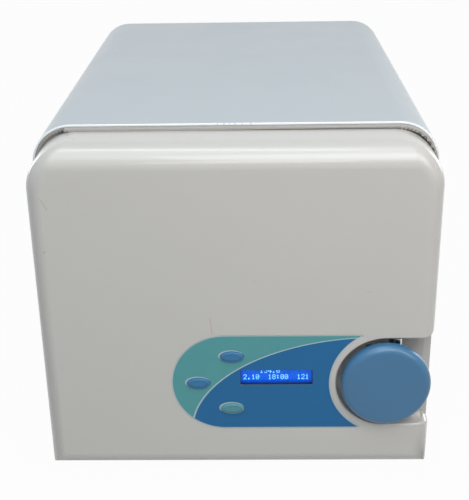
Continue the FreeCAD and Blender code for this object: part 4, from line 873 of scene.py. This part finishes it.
def makeDisplay():
    glassLow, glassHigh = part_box("display_glass")
    centre = (glassLow + glassHigh) / 2
    glassBack = glassLow.y + displayShape["glassThickness"]
    back = glassBack + displayShape["airGap"]
    glass = makePane("windowGlass", glassLow.y, glassBack, 0.0)
    finishPiece(glass, "door", finishes["clearWindow"], ["display_glass"])
    face = makePane("displayFace", back, glassHigh.y, displayShape["faceInset"])
    finishPiece(face, "door", finishes["backLight"])

    columns = displayShape["columns"] * displayShape["dotColumns"]
    rows = displayShape["rows"] * displayShape["dotRows"]
    dotX = displayShape["charPitch"][0] / displayShape["dotColumns"]
    dotZ = displayShape["charPitch"][1] / (displayShape["dotRows"] - 1)
    middleZ = centre.z + displayShape["dotRise"]
    clearSelection()
    bpy.ops.mesh.primitive_grid_add(x_subdivisions=columns, y_subdivisions=rows, size=1.0,
                                    location=(centre.x, back - displayShape["lift"], middleZ),
                                    rotation=(math.pi / 2, 0, 0))
    dots = bpy.context.active_object
    dots.name = "displayDots"
    dots.scale = (columns * dotX, rows * dotZ, 1.0)
    settle(dots)
    left = centre.x - columns * dotX / 2
    top = middleZ + rows * dotZ / 2

    def isDark(cell):
        column = int((cell.center.x - left) / dotX)
        row = int((top - cell.center.z) / dotZ)
        return not litDot(column, row)

    pickFaces(dots, isDark)
    bpy.ops.mesh.delete(type="FACE")
    bpy.ops.mesh.select_all(action="SELECT")
    bpy.ops.mesh.inset(thickness=displayShape["dotGap"], use_individual=True)
    bpy.ops.mesh.select_all(action="INVERT")
    bpy.ops.mesh.delete(type="FACE")
    bpy.ops.object.mode_set(mode="OBJECT")
    finishPiece(dots, "door", finishes["litDots"])


makeDisplay()
# painted shade inside the window's recess
makeShadeLining()
print("display made")


# Cross-head screws on the outside of the cabinet

screwShape = {
    "headRadius": 0.0040,
    "headHeight": 0.0018,
    "headRound": 0.0011,
    "shankRadius": 0.0020,
    "crossLength": 0.0046,
    "crossWidth": 0.0010,
    "crossDepth": 0.0011,
    "sides": 32,
    "roundSteps": 4,
    "smoothAngle": 40,
}


def solidBoxes(node):
    # The box of each separate solid in a CAD node, read from a merged copy
    mergedCopy(node)
    bpy.ops.mesh.separate(type="LOOSE")
    bpy.ops.object.mode_set(mode="OBJECT")
    boxes = []
    for part in list(bpy.context.selected_objects):
        corners = [vertex.co for vertex in part.data.vertices]
        boxes.append((Vector(map(min, zip(*corners))), Vector(map(max, zip(*corners)))))
        bpy.data.objects.remove(part)
    return sorted(boxes, key=lambda box: tuple(box[0]))


def makeScrewMesh(shankLength):
    # Drawn at the origin with its seat on z = 0 and its head upwards
    head = screwShape["headHeight"]
    clearSelection()
    bpy.ops.mesh.primitive_cylinder_add(vertices=screwShape["sides"], radius=screwShape["headRadius"],
                                        depth=head, location=(0, 0, head / 2))
    screw = bpy.context.active_object
    settle(screw)
    pickFaces(screw, lambda face: face.normal.z > 0.9)
    bpy.ops.mesh.bevel(offset=screwShape["headRound"], segments=screwShape["roundSteps"],
                       affect="EDGES")
    bpy.ops.object.mode_set(mode="OBJECT")
    pickFaces(screw, lambda face: face.normal.z < -0.9)
    bpy.ops.mesh.inset(thickness=screwShape["headRadius"] - screwShape["shankRadius"])
    bpy.ops.mesh.extrude_region_move(TRANSFORM_OT_translate={"value": (0, 0, -shankLength)})
    bpy.ops.object.mode_set(mode="OBJECT")
    for turn in (0, math.pi / 2):
        clearSelection()
        bpy.ops.mesh.primitive_cube_add(size=1.0, location=(0, 0, head), rotation=(0, 0, turn))
        blade = bpy.context.active_object
        blade.scale = (screwShape["crossLength"], screwShape["crossWidth"], 2 * screwShape["crossDepth"])
        applyModifier(screw, "BOOLEAN", operation="DIFFERENCE", object=blade, solver="EXACT")
        bpy.data.objects.remove(blade)
    smoothEdges(screw, screwShape["smoothAngle"])
    return screw


def makeScrewSet(name, node, body):
    # One modelled screw, copied to every place where the CAD has one
    copies = []
    pattern = None
    for low, high in solidBoxes(node):
        size = high - low
        centre = (low + high) / 2
        axis = max(range(3), key=lambda k: size[k])
        out = 1 if (axis == 1 or centre[axis] > 0) else -1
        if node == "foot_screws" or (axis == 1 and node != "cabinet_screws"):
            out = -1
        facing = Vector([out if k == axis else 0 for k in range(3)])
        headEnd = high[axis] if out > 0 else low[axis]
        seat = centre.copy()
        seat[axis] = headEnd - out * screwShape["headHeight"]
        if pattern is None:
            pattern = makeScrewMesh(size[axis] - screwShape["headHeight"])
        copy = pattern.copy()
        copy.data = pattern.data.copy()
        bpy.context.scene.collection.objects.link(copy)
        copy.rotation_mode = "QUATERNION"
        copy.rotation_quaternion = facing.to_track_quat("Z", "Y")
        copy.location = seat
        copies.append(copy)
    bpy.data.objects.remove(pattern)
    clearSelection()
    for copy in copies:
        copy.select_set(True)
    bpy.context.view_layer.objects.active = copies[0]
    bpy.ops.object.join()
    group = bpy.context.active_object
    group.name = name
    settle(group)
    finishPiece(group, body, finishes["plated"], [node])


makeScrewSet("cabinetScrewSet", "cabinet_screws", "cabinet")
makeScrewSet("frameScrewSet", "frame_screws", "cabinet")
print("screws made")


print("scene built")
